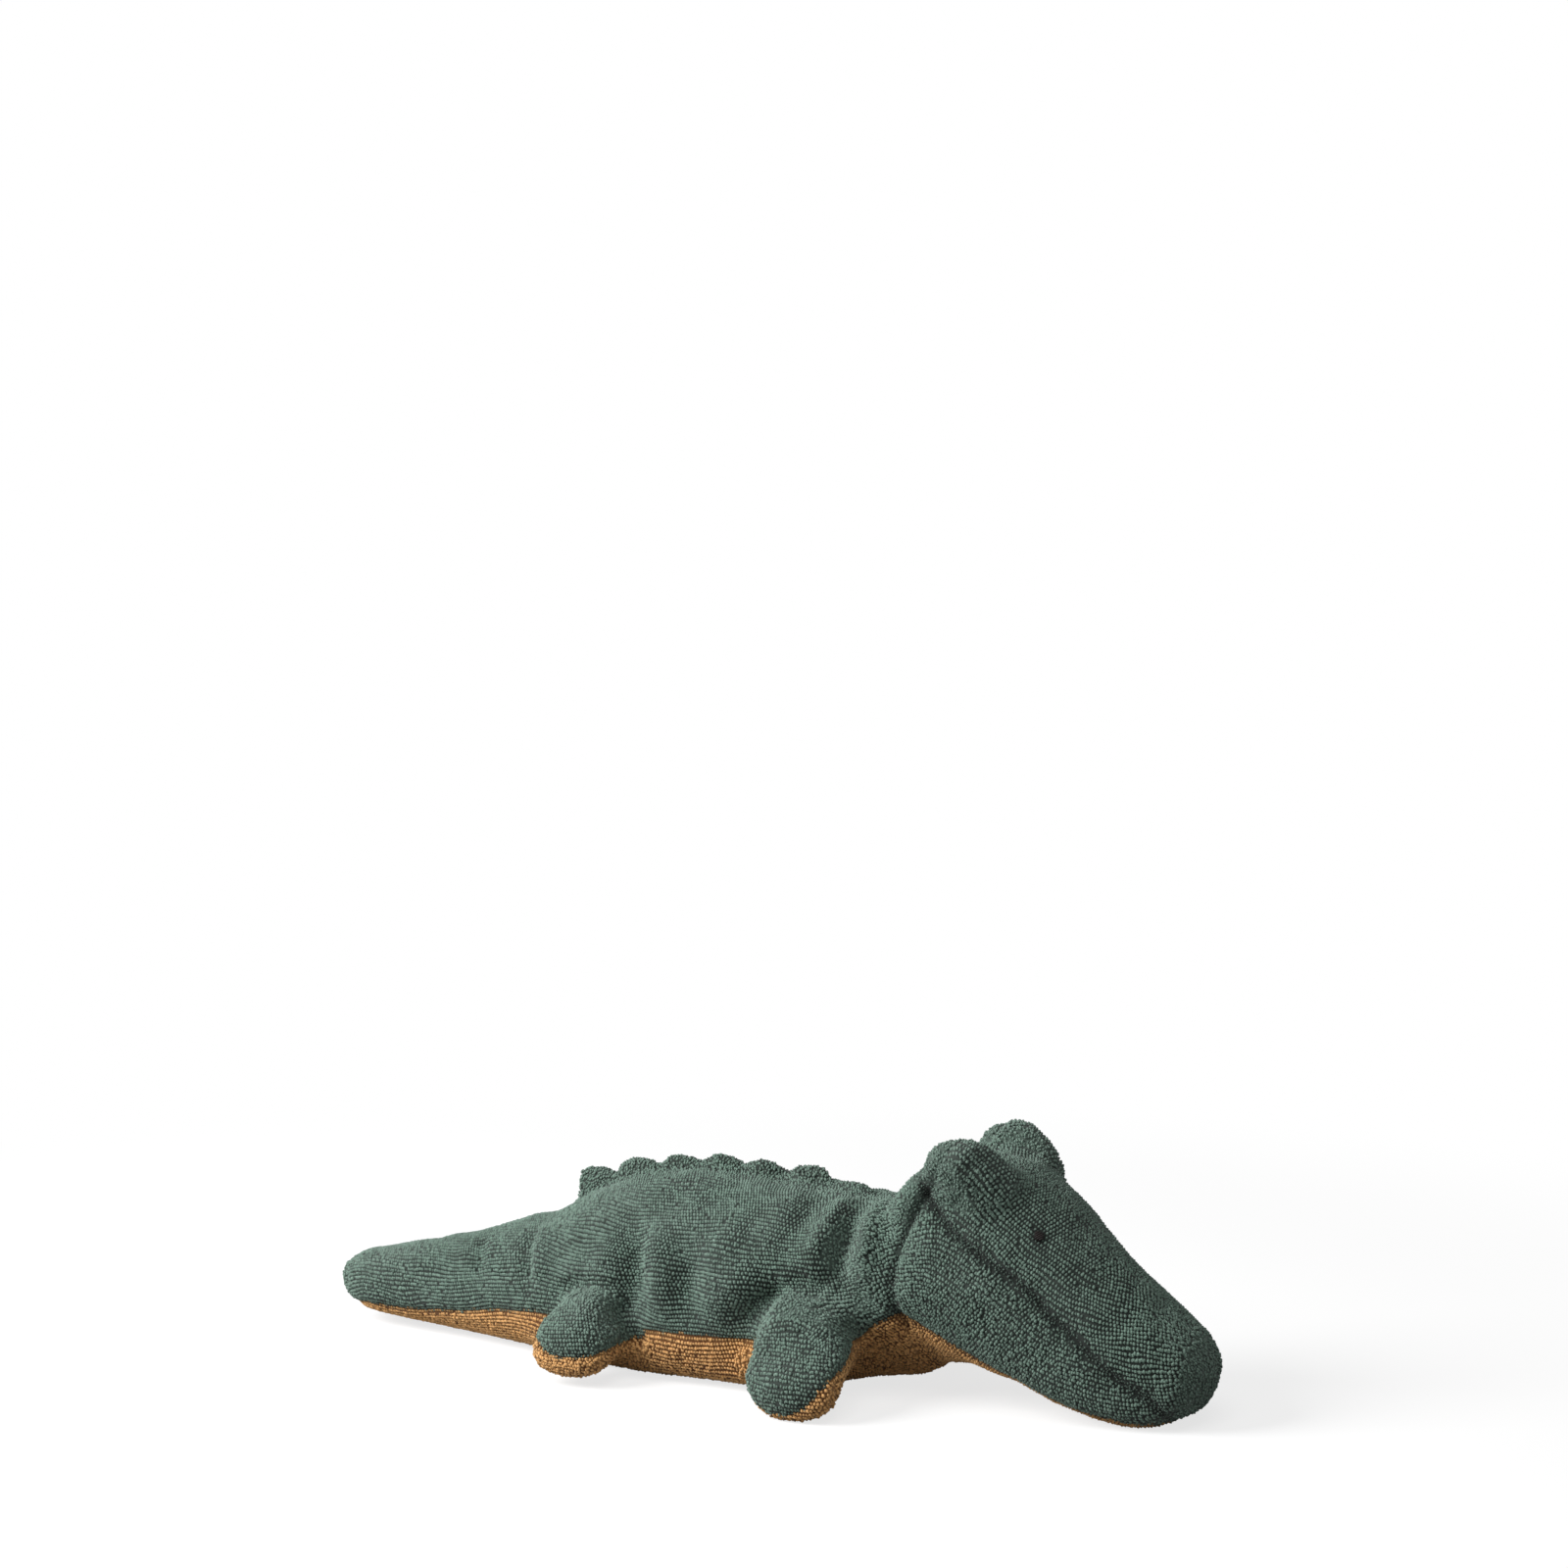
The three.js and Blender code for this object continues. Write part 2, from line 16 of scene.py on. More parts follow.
import bpy
import numpy as np
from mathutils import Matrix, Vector
from mathutils.bvhtree import BVHTree
from mathutils.kdtree import KDTree

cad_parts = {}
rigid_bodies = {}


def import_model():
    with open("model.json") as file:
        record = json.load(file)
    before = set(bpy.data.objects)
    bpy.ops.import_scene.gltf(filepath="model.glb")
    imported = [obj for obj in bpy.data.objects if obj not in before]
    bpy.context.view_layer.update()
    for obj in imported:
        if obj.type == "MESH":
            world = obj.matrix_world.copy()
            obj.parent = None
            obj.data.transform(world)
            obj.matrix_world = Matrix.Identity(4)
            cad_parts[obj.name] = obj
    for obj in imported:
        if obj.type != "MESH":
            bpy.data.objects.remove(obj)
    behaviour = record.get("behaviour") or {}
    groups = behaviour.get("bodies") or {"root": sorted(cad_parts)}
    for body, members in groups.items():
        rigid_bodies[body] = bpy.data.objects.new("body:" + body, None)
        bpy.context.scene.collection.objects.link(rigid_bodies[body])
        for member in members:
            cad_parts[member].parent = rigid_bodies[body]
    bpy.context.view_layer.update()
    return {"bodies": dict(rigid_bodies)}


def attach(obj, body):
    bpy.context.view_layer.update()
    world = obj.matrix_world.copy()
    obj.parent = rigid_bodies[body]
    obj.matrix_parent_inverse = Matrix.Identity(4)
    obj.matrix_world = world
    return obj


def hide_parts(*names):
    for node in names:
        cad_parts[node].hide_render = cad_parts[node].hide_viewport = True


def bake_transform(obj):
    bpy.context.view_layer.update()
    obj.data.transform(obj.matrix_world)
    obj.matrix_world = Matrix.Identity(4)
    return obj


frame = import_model()

log = logging.getLogger("plush_crocodile")

MM = 0.001
SIDES = (-1, 1)
SIDE_NAMES = {-1: "right", 1: "left"}

# distances out from the toy's middle over which the details of its sides come in
SIDES_BEGIN = (8.0, 20.0)
# heights over which seams fade towards the crown
CROWN_FADE = (95.0, 108.0)

Point = tuple[float, float, float]
# a line drawn on the toy's side view, as pairs of x and height
Line = tuple[tuple[float, float], ...]


class Slot(Enum):
    """The record's material slots."""

    GREEN = "green_terry"
    TAN = "tan_terry"
    THREAD = "eye_thread"


# ---- Small helpers on arrays of points


def eased(at: np.ndarray, places: np.ndarray, values: np.ndarray) -> np.ndarray:
    """Reads a smooth curve through the given values.

    Args:
        at: Where to read it.
        places: Rising places of the values.
        values: One value, or one row of values, for each place.

    Returns:
        The value or row at each asked place.
    """
    slopes = np.gradient(values, places, axis=0)
    low = np.clip(np.searchsorted(places, at) - 1, 0, len(places) - 2)
    span = places[low + 1] - places[low]
    share = np.clip((at - places[low]) / span, 0, 1)
    if values.ndim > 1:
        span, share = span[:, None], share[:, None]
    rest = 1 - share
    return (
        (1 + 2 * share) * rest**2 * values[low]
        + share * rest**2 * span * slopes[low]
        + share**2 * (3 - 2 * share) * values[low + 1]
        - share**2 * rest * span * slopes[low + 1]
    )


def smooth_step(values: np.ndarray, start: float, end: float) -> np.ndarray:
    """Rises smoothly from 0 at start to 1 at end."""
    share = np.clip((values - start) / (end - start), 0, 1)
    return share * share * (3 - 2 * share)


def oval(half_width: float, up: float, down: float, roundness: tuple[float, float], count: int) -> np.ndarray:
    """Draws a rounded outline round its widest level.

    Args:
        half_width: Half the width.
        up: Height above the widest level.
        down: Depth below it.
        roundness: Squareness of the upper and lower half, where 2 is an ellipse.
        count: Number of points.

    Returns:
        Rows of across and up.
    """
    angle = np.linspace(0, 2 * np.pi, count, endpoint=False)
    across, rise = np.cos(angle), np.sin(angle)
    power = 2 / np.where(rise >= 0, roundness[0], roundness[1])
    reach = np.where(rise >= 0, up, down)
    return np.stack(
        [half_width * np.sign(across) * np.abs(across) ** power, reach * np.sign(rise) * np.abs(rise) ** power], 1
    )


@dataclass
class Surface:
    """Points and quads or triangles of a mesh, in millimetres."""

    points: np.ndarray
    faces: list[tuple[int, ...]]

    def placed(self, matrix: np.ndarray, origin: np.ndarray) -> "Surface":
        """The same surface turned by a 3 x 3 matrix and moved."""
        return Surface(self.points @ matrix.T + origin, self.faces)


def lofted(rings: np.ndarray, start: np.ndarray, end: np.ndarray) -> Surface:
    """Closes a run of rings with a pole at each end.

    Args:
        rings: Array of ring, point and coordinate.
        start: Pole before the first ring.
        end: Pole after the last ring.

    Returns:
        The closed surface.
    """
    runs, count = rings.shape[:2]
    points = np.concatenate([rings.reshape(-1, 3), start[None], end[None]])
    faces: list[tuple[int, ...]] = []
    for run in range(runs - 1):
        for index in range(count):
            after = (index + 1) % count
            here, ahead = run * count, (run + 1) * count
            faces.append((here + index, here + after, ahead + after, ahead + index))
    last = (runs - 1) * count
    for index in range(count):
        after = (index + 1) % count
        faces.append((len(points) - 2, after, index))
        faces.append((len(points) - 1, last + index, last + after))
    return Surface(points, faces)


def ellipsoid(centre: np.ndarray, radii: Point, count: int = 40) -> Surface:
    """Makes a closed ellipsoid from rings along its X axis.

    Args:
        centre: Its middle.
        radii: Its reach along each axis.
        count: Number of points round a ring.

    Returns:
        The closed surface.
    """
    rings = []
    for turn in np.linspace(0, np.pi, count // 2 + 2)[1:-1]:
        ring = oval(radii[1] * np.sin(turn), radii[2] * np.sin(turn), radii[2] * np.sin(turn), (2, 2), count)
        rings.append(np.column_stack([np.full(count, -radii[0] * np.cos(turn)), ring]))
    reach = np.array([radii[0], 0.0, 0.0])
    surface = lofted(np.array(rings), -reach, reach)
    return Surface(surface.points + centre, surface.faces)


def pitched(degrees: float) -> np.ndarray:
    """Makes the 3 x 3 turn that tips a form's front down by an angle, or up where that is negative."""
    cos, sin = math.cos(math.radians(degrees)), math.sin(math.radians(degrees))
    return np.array([[cos, 0, sin], [0, 1, 0], [-sin, 0, cos]])


def path_distance(points: np.ndarray, path: np.ndarray) -> tuple[np.ndarray, np.ndarray]:
    """Measures how far points lie from an open path, in any number of dimensions.

    Args:
        points: Rows of coordinates.
        path: Rows of coordinates along the path.

    Returns:
        Distance to the path, and the share of its length at the nearest place.
    """
    steps = np.diff(path, axis=0)
    lengths = np.linalg.norm(steps, axis=1)
    before = np.concatenate([[0], np.cumsum(lengths)])
    best = np.full(len(points), np.inf)
    share = np.zeros(len(points))
    for start, step, length, begun in zip(path[:-1], steps, lengths, before):
        along = np.clip((points - start) @ step / length**2, 0, 1)
        apart = np.linalg.norm(points - start - along[:, None] * step, axis=1)
        nearer = apart < best
        best = np.where(nearer, apart, best)
        share = np.where(nearer, (begun + along * length) / before[-1], share)
    return best, share


# ---- The forms under the cloth


@dataclass
class Form:
    """A form lofted through stations along one line.

    Each station holds its place on the line, half width, top, bottom, widest level and the squareness of
    the lower half.
    """

    stations: tuple[tuple[float, ...], ...] = ()
    upper_roundness: float = 2.0
    step: float = 2.0
    around: int = 96

    @property
    def table(self) -> np.ndarray:
        """The stations as an array."""
        return np.array(self.stations)

    def read(self, places: np.ndarray) -> np.ndarray:
        """Half width, top, bottom, widest level and squareness at places along the form."""
        table = self.table
        return eased(np.clip(places, table[0, 0], table[-1, 0]), table[:, 0], table[:, 1:])

    def rings(self) -> np.ndarray:
        """Draws the form's outlines.

        Returns:
            Array of ring, point and coordinate.
        """
        places = np.arange(self.table[0, 0], self.table[-1, 0], self.step)
        rings = []
        for place, (width, top, bottom, level, lower) in zip(places, self.read(places)):
            ring = oval(width, top - level, level - bottom, (self.upper_roundness, lower), self.around)
            rings.append(np.column_stack([np.full(self.around, place), ring[:, 0], ring[:, 1] + level]))
        return np.array(rings)


@dataclass
class Trunk(Form):
    """Tail, torso and neck as one loft along X."""

    stations: tuple[tuple[float, ...], ...] = (
        (-221.1, 7.3, 26.8, 12.5, 19.7, 2.2),
        (-215.5, 12.2, 30.9, 8.7, 19.8, 2.2),
        (-206.7, 15.7, 34.5, 6.3, 19.8, 2.2),
        (-185.5, 19.1, 39.4, 4.3, 20.4, 2.2),
        (-163.0, 22.1, 44.4, 2.9, 21.6, 2.2),
        (-140.5, 25.5, 50.1, 1.5, 22.9, 2.2),
        (-120.5, 29.9, 57.3, 0.8, 24.8, 2.4),
        (-98.0, 35.3, 64.9, 0.4, 27.0, 2.8),
        (-80.0, 40.7, 75.2, 0.3, 30.5, 3.6),
        (-58.4, 45.1, 84.1, 0.3, 32.5, 4.2),
        (-33.2, 48.0, 88.2, 0.3, 33.2, 4.2),
        (-4.4, 49.0, 89.5, 0.3, 34.6, 4.2),
        (20.8, 48.5, 88.6, 0.4, 36.1, 4.2),
        (42.4, 46.1, 86.8, 1.6, 38.2, 3.2),
        (58.6, 42.6, 85.9, 3.6, 41.2, 1.9),
        (71.2, 39.2, 87.3, 5.4, 43.0, 1.4),
        (84.0, 37.2, 89.5, 7.0, 46.0, 1.3),
        (96.0, 33.0, 84.0, 12.0, 48.0, 1.3),
    )
    upper_roundness: float = 2.15
    tip_x: float = -223.0
    tip_level: float = 20.0

    def surface(self) -> Surface:
        """Builds the closed loft.

        Returns:
            The surface, from the tail's tip to inside the head.
        """
        rings = self.rings()
        end = np.array([rings[-1, 0, 0] + self.step, 0.0, self.table[-1, 4]])
        return lofted(rings, np.array([self.tip_x, 0.0, self.tip_level]), end)

    def tops(self, x: np.ndarray) -> np.ndarray:
        """Height of the spine at places along the trunk."""
        return self.read(x)[:, 1]


@dataclass
class Head(Form):
    """Head as a loft along its own line, which points down from the neck's centre, with two eye bumps."""

    neck: Point = (82.0, 0.0, 48.0)
    pitch_degrees: float = 15.0
    length: float = 143.0
    stations: tuple[tuple[float, ...], ...] = (
        (-6.0, 30.0, 34.0, -28.0, 4.0, 1.3),
        (2.9, 37.0, 52.0, -32.8, 5.8, 1.3),
        (10.0, 39.0, 63.4, -31.7, 9.8, 1.4),
        (17.2, 39.4, 69.8, -29.9, 12.8, 1.5),
        (25.7, 39.4, 72.0, -26.6, 12.0, 1.7),
        (40.0, 39.0, 70.0, -21.6, 8.0, 2.0),
        (57.2, 37.4, 63.4, -19.0, 2.0, 2.4),
        (80.1, 34.7, 49.8, -20.4, -5.0, 2.7),
        (104.4, 31.2, 38.2, -20.8, -6.0, 2.8),
        (123.0, 27.7, 29.5, -17.3, -2.0, 2.8),
        (134.4, 23.4, 23.8, -10.1, 2.6, 2.8),
        (140.9, 15.2, 16.6, -4.3, 7.0, 2.8),
    )
    upper_roundness: float = 2.6
    snout_level: float = 10.0
    bump_centre: Point = (20.5, 26.0, 64.0)
    bump_radii: Point = (21.0, 15.0, 15.6)
    # slack cloth gathered down behind each bump
    gather_centre: Point = (5.5, 22.0, 54.0)
    gather_radii: Point = (28.0, 14.0, 10.5)
    gather_pitch_degrees: float = -54.0
    # how much further ahead the left bump and its gather stand
    left_bump_ahead: float = 1.6
    left_gather_ahead: float = 3.6

    @property
    def turn(self) -> np.ndarray:
        """Turn from the head's own frame to the part's."""
        return pitched(self.pitch_degrees)

    def surfaces(self) -> list[Surface]:
        """Builds the skull, its two eye bumps and the gathers behind them.

        Returns:
            The closed surfaces, in the part's frame.
        """
        start = np.array([self.table[0, 0] - self.step, 0.0, self.table[0, 4]])
        forms = [lofted(self.rings(), start, np.array([self.length, 0.0, self.snout_level]))]
        for side in SIDES:
            mirror, left = (1, side, 1), side > 0
            ahead = np.array([self.left_bump_ahead * left, 0.0, 0.0])
            forms.append(ellipsoid(np.array(self.bump_centre) * mirror + ahead, self.bump_radii))
            ahead[0] = self.left_gather_ahead * left
            gather = ellipsoid(np.zeros(3), self.gather_radii)
            lean = pitched(self.gather_pitch_degrees)
            forms.append(gather.placed(lean, np.array(self.gather_centre) * mirror + ahead))
        return [form.placed(self.turn, np.array(self.neck)) for form in forms]


@dataclass
class Leg:
    """One leg as a loft outward from its root."""

    root: Point
    radius: float
    half_thickness: float
    reach: float
    sweep: float
    foot_level: float
    # share of the reach, then width and thickness as shares, and how far it has dropped to the foot
    shares: tuple[tuple[float, ...], ...] = (
        (-0.35, 1.0, 1.0, 0.0),
        (0.0, 1.02, 1.0, 0.0),
        (0.26, 1.1, 0.97, 0.1),
        (0.5, 1.15, 0.9, 0.42),
        (0.7, 1.08, 0.8, 0.8),
        (0.87, 0.85, 0.62, 0.98),
        (0.96, 0.52, 0.38, 1.0),
    )
    roundness: tuple[float, float] = (2.15, 2.3)
    around: int = 48
    runs: int = 34

    def surface(self, side: int) -> Surface:
        """Builds the leg on one side.

        Args:
            side: 1 for the left and -1 for the right.

        Returns:
            The closed surface, from inside the trunk to the paw's tip.
        """
        table = np.array(self.shares)
        places = np.linspace(table[0, 0], table[-1, 0], self.runs)
        rings = []
        for place, (width, thickness, dropped) in zip(places, eased(places, table[:, 0], table[:, 1:])):
            half = self.half_thickness * thickness
            ring = oval(self.radius * width, half, half, self.roundness, self.around)
            middle = self.middle(place, dropped, side)
            rings.append(middle + np.column_stack([ring[:, 0], np.zeros(self.around), ring[:, 1]]))
        return lofted(np.array(rings), self.middle(places[0], 0.0, side), self.middle(1.0, 1.0, side))

    def middle(self, out: float, dropped: float, side: int) -> np.ndarray:
        """Finds the leg's middle at one place.

        Args:
            out: Share of the reach.
            dropped: Share of the way down to the foot's level.
            side: 1 for the left and -1 for the right.

        Returns:
            The point.
        """
        x, y, z = self.root
        level = z + (self.foot_level - z) * dropped
        return np.array([x - self.sweep * out, side * (y + self.reach * out), level])


@dataclass
class Scutes:
    """Row of scallops along the spine."""

    first_x: float = -80.0
    pitch: float = 21.3
    rises: tuple[float, ...] = (11.0, 8.0, 8.2, 8.0, 8.0, 9.9, 5.5)
    leans: tuple[float, ...] = (-3.0, -0.8, 0.6, -0.5, 0.8, 2.0, 1.0)
    sink: float = 4.0
    half_thickness: float = 4.6
    half_length: float = 12.8
    # squareness of a scallop seen from the side, and the most that this lifts its shoulders
    fullness: float = 2.8
    most_lift: float = 1.6
    around: int = 24

    def surfaces(self, trunk: Trunk) -> list[Surface]:
        """Builds the scallops.

        Args:
            trunk: The trunk whose spine they stand on.

        Returns:
            One closed surface for each scallop.
        """
        lumps = []
        for index, (rise, lean) in enumerate(zip(self.rises, self.leans)):
            x = self.first_x + self.pitch * index
            lump = ellipsoid(np.zeros(3), (self.half_length, self.half_thickness, rise + self.sink), self.around)
            flat = np.abs(lump.points[:, 0]) / self.half_length
            fuller = (1 - flat**self.fullness) ** (1 / self.fullness) / np.sqrt(np.maximum(1 - flat**2, 1e-6))
            lump.points[:, 2] *= np.clip(fuller, 1, self.most_lift)
            lump.points[:, 0] += lean * np.clip(lump.points[:, 2] - self.sink, 0, None) / rise
            lump.points += (x, 0.0, float(trunk.tops(np.array([x]))[0]) - self.sink)
            lumps.append(lump)
        return lumps


# ---- Creases, folds and seams


def bell(apart: np.ndarray, width: float) -> np.ndarray:
    """Falls from 1 at no distance towards 0 past a width."""
    return np.exp(-((apart / width) ** 2))


@dataclass(frozen=True)
class Groove:
    """Cross section of a seam or crease, as a sum of bell curves."""

    # depth, width and distance from the middle
    bells: tuple[tuple[float, float, float], ...]

    def depth(self, apart: np.ndarray) -> np.ndarray:
        """How deep the cloth lies at distances from the middle."""
        return sum(depth * bell(apart - aside, width) for depth, width, aside in self.bells)


@dataclass(frozen=True)
class Fold:
    """A crease or ridge along a path seen from the side.

    A negative depth presses the cloth in, and a positive one lifts it.
    """

    path: Line
    width: float
    depth: float
    # share of the path over which it fades at each end
    ends: float = 0.2
    # how far out from the toy's middle it reaches
    flank: float = 200.0
    flank_fade: float = 7.0
    # distances out from the toy's middle over which it comes in, and the least that is left of it at its ends
    begins: tuple[float, float] = (6.0, 20.0)
    least: float = 0.25
    # the swell on each side of it: share of its depth, and distance in widths
    swell: float = 0.35
    swell_aside: float = 2.1

    def amount(self, side_view: np.ndarray, out: np.ndarray, strength: float) -> np.ndarray:
        """Works out how far the fold moves the cloth.

        Args:
            side_view: Rows of x and height.
            out: Distance of each point to one side of the toy's middle.
            strength: Share of the fold's depth that this side has.

        Returns:
            Millimetres outward for each point.
        """
        apart, share = path_distance(side_view, np.array(self.path, float))
        ends = np.clip(np.minimum(share, 1 - share) / self.ends, self.least, 1)
        bells = ((1.0, self.width, 0.0), (-self.swell, self.width, self.swell_aside * self.width))
        flank = 1 - smooth_step(out, self.flank, self.flank + self.flank_fade)
        return strength * self.depth * smooth_step(out, *self.begins) * flank * ends * Groove(bells).depth(apart)


SIDE_FOLDS: tuple[Fold, ...] = (
    Fold(((-141, 50), (-137, 44), (-132, 34)), 3.6, -2.0),
    Fold(((-125, 55), (-122, 47), (-119, 36)), 5.5, 1.0),
    Fold(((-110, 58), (-104, 47), (-101, 35)), 3.8, -2.8),
    Fold(((-99, 62), (-95, 50), (-92, 38)), 6.0, 1.8),
    Fold(((-47, 72), (-42, 60), (-40, 48), (-39, 36), (-37, 22)), 7.5, -6.5, 0.3),
    Fold(((-30, 70), (-25, 52), (-24, 36)), 6.5, 1.6),
    Fold(((-13, 62), (-10, 50), (-9, 36)), 6.0, -3.2, 0.4),
    Fold(((8, 76), (6, 56), (8, 36)), 8.0, 1.6),
    Fold(((36, 60), (30, 49), (23, 40), (18.5, 32), (16.5, 23)), 6.5, -5.6, 0.3),
    Fold(((41, 50), (33, 46.5), (26, 40)), 4.0, -3.4),
    Fold(((42, 90), (38, 80), (35, 72)), 5.5, -3.0, 0.3),
    Fold(((56, 92), (53, 78), (50.5, 71), (47, 62)), 4.6, 2.8),
    Fold(((59, 84), (61.5, 73), (61, 62), (59, 50)), 5.0, -4.0, 0.3),
    Fold(((67, 92), (69, 78), (70, 68), (69, 57)), 4.6, 2.4),
    Fold(((61, 56), (66, 50), (73, 44)), 5.0, -2.6),
    Fold(((38, 56), (48, 52), (58, 49)), 5.0, -3.0),
    Fold(((35, 43), (48, 41), (58, 40)), 6.5, 2.2),
    Fold(((-82, 34), (-76, 38.5), (-68, 41.0), (-58, 41.5), (-50, 41), (-45, 38.5)), 3.0, -3.0, 0.2, 50.0),
    Fold(((-46, 40), (-41, 33.5), (-38.7, 27), (-36.3, 19)), 3.4, -3.4, 0.2, 50.0),
)
# hollows in slack cloth behind and between the eye bumps: middle, radius and depth
DIMPLES: tuple[tuple[Point, float, float], ...] = (
    ((129.0, 33.0, 107.0), 14.0, -2.6),
    ((112.0, 38.0, 98.0), 12.0, -2.0),
    ((126.0, 10.0, 113.0), 14.0, -1.5),
)
NECK_SEAM: Line = (
    (90, 36),
    (87.3, 42.7),
    (86.2, 50),
    (85.8, 56),
    (86.2, 66),
    (89, 76.5),
    (95, 87),
    (101, 97),
    (106, 105.8),
    (109.5, 112.5),
    (112, 118),
)
CHEEK_SEAM: Line = (
    (94, 112),
    (100, 95.5),
    (107.5, 87.8),
    (115.2, 81.3),
    (128.4, 71.5),
    (141.7, 64.1),
    (150.5, 57.9),
    (160.2, 47.6),
    (172.4, 37.5),
    (185.3, 26.6),
    (196, 19.5),
    (204, 15),
    (209, 7),
    (210, 0),
)
BELLY_SEAM: Line = (
    (-250, 8),
    (-215, 9.5),
    (-203, 11.5),
    (-178, 11.8),
    (-150, 14.5),
    (-129, 18.5),
    (-98, 22.5),
    (-44, 24),
    (0, 25.5),
    (28, 25.5),
    (55, 25.5),
    (69, 29),
    (77, 36.5),
    (88, 42),
    (100, 36),
    (111, 30.5),
    (129, 22.5),
    (152, 12.5),
    (172.7, 6),
    (190, 3.4),
    (206, 2.8),
    (240, 2.6),
)


@dataclass(frozen=True)
class SoleSeam:
    """Seam between a leg's green upper and its tan sole, level with the belly seam at the root."""

    x: float
    # how far the leg reaches to each side of there
    half_span: float
    root_level: float
    # distance ahead of the leg's middle, and the seam's height there at the tip
    levels: Line
    # distances out from the toy's middle: where the seam takes over, and where it starts and ends to drop
    takes_over: tuple[float, float] = (40.0, 47.0)
    drops: tuple[float, float] = (46.0, 78.0)
    # share of the half span past which the seam fades out
    full_share: float = 0.85

    def share(self, points: np.ndarray) -> np.ndarray:
        """How much this seam counts at each point, against the belly seam."""
        beside = 1 - smooth_step(np.abs(points[:, 0] - self.x), self.half_span * self.full_share, self.half_span)
        return beside * smooth_step(np.abs(points[:, 1]), *self.takes_over)

    def level(self, points: np.ndarray) -> np.ndarray:
        """Reads the seam's height.

        Args:
            points: Rows of coordinates.

        Returns:
            The height at each point.
        """
        table = np.array(self.levels)
        tip = eased(np.clip(points[:, 0] - self.x, table[0, 0], table[-1, 0]), table[:, 0], table[:, 1])
        lowered = smooth_step(np.abs(points[:, 1]), *self.drops)
        return self.root_level * (1 - lowered) + tip * lowered


SOLE_SEAMS: tuple[SoleSeam, ...] = (
    SoleSeam(49.0, 32.0, 25.5, ((-28, 15), (-14, 7), (-6, 4), (4, 3.2), (12, 5.4), (20, 12.3), (24, 18), (30, 26))),
    SoleSeam(
        -58.0, 27.0, 18.0, ((-22, 19), (-17, 19.5), (-11, 16.5), (-4, 14.7), (3, 14.4), (9, 15.4), (15, 16.6), (24, 20))
    ),
)


def seam_height(points: np.ndarray) -> np.ndarray:
    """Measures how high points lie above the seam between green and tan cloth.

    Args:
        points: Rows of coordinates.

    Returns:
        The height, which is negative on the tan cloth.
    """
    line = np.array(BELLY_SEAM)
    height = points[:, 2] - np.interp(points[:, 0], line[:, 0], line[:, 1])
    for seam in SOLE_SEAMS:
        share = seam.share(points)
        height = height * (1 - share) + (points[:, 2] - seam.level(points)) * share
    return height


def cheek_height(points: np.ndarray) -> np.ndarray:
    """How far each point lies above the seam between crown and cheek."""
    line = np.array(CHEEK_SEAM)
    return points[:, 2] - np.interp(points[:, 0], line[:, 0], line[:, 1])


def from_line(points: np.ndarray, line: Line) -> np.ndarray:
    """Distance of each point, seen from the side, to a line on the side view."""
    return path_distance(points[:, [0, 2]], np.array(line, float))[0]


def beside_middle(points: np.ndarray) -> np.ndarray:
    """Weight that rises from 0 at the toy's middle to 1 on its sides."""
    return smooth_step(np.abs(points[:, 1]), *SIDES_BEGIN)


# ---- The skin


def bare_object(name: str, points: np.ndarray, faces: list[tuple[int, ...]]) -> bpy.types.Object:
    """Adds a mesh object from millimetres.

    Args:
        name: Name of the piece.
        points: Rows of coordinates in millimetres.
        faces: Corners of each face.

    Returns:
        The new object, at the origin.
    """
    mesh = bpy.data.meshes.new(name)
    mesh.from_pydata((points * MM).tolist(), [], faces)
    mesh.validate()
    mesh.shade_smooth()
    made = bpy.data.objects.new(name, mesh)
    bpy.context.scene.collection.objects.link(made)
    return made


def evaluated_mesh(source: bpy.types.Object) -> bpy.types.Mesh:
    """Applies an object's modifiers.

    Args:
        source: The object, which keeps its modifiers.

    Returns:
        A plain mesh.
    """
    bpy.context.view_layer.update()
    graph = bpy.context.evaluated_depsgraph_get()
    return bpy.data.meshes.new_from_object(source.evaluated_get(graph), depsgraph=graph)


def points_of(mesh: bpy.types.Mesh) -> np.ndarray:
    """Reads where a mesh's points are.

    Args:
        mesh: A mesh, in metres as Blender keeps it.

    Returns:
        Rows of coordinates in millimetres.
    """
    found = np.empty(len(mesh.vertices) * 3)
    mesh.vertices.foreach_get("co", found)
    return found.reshape(-1, 3) / MM


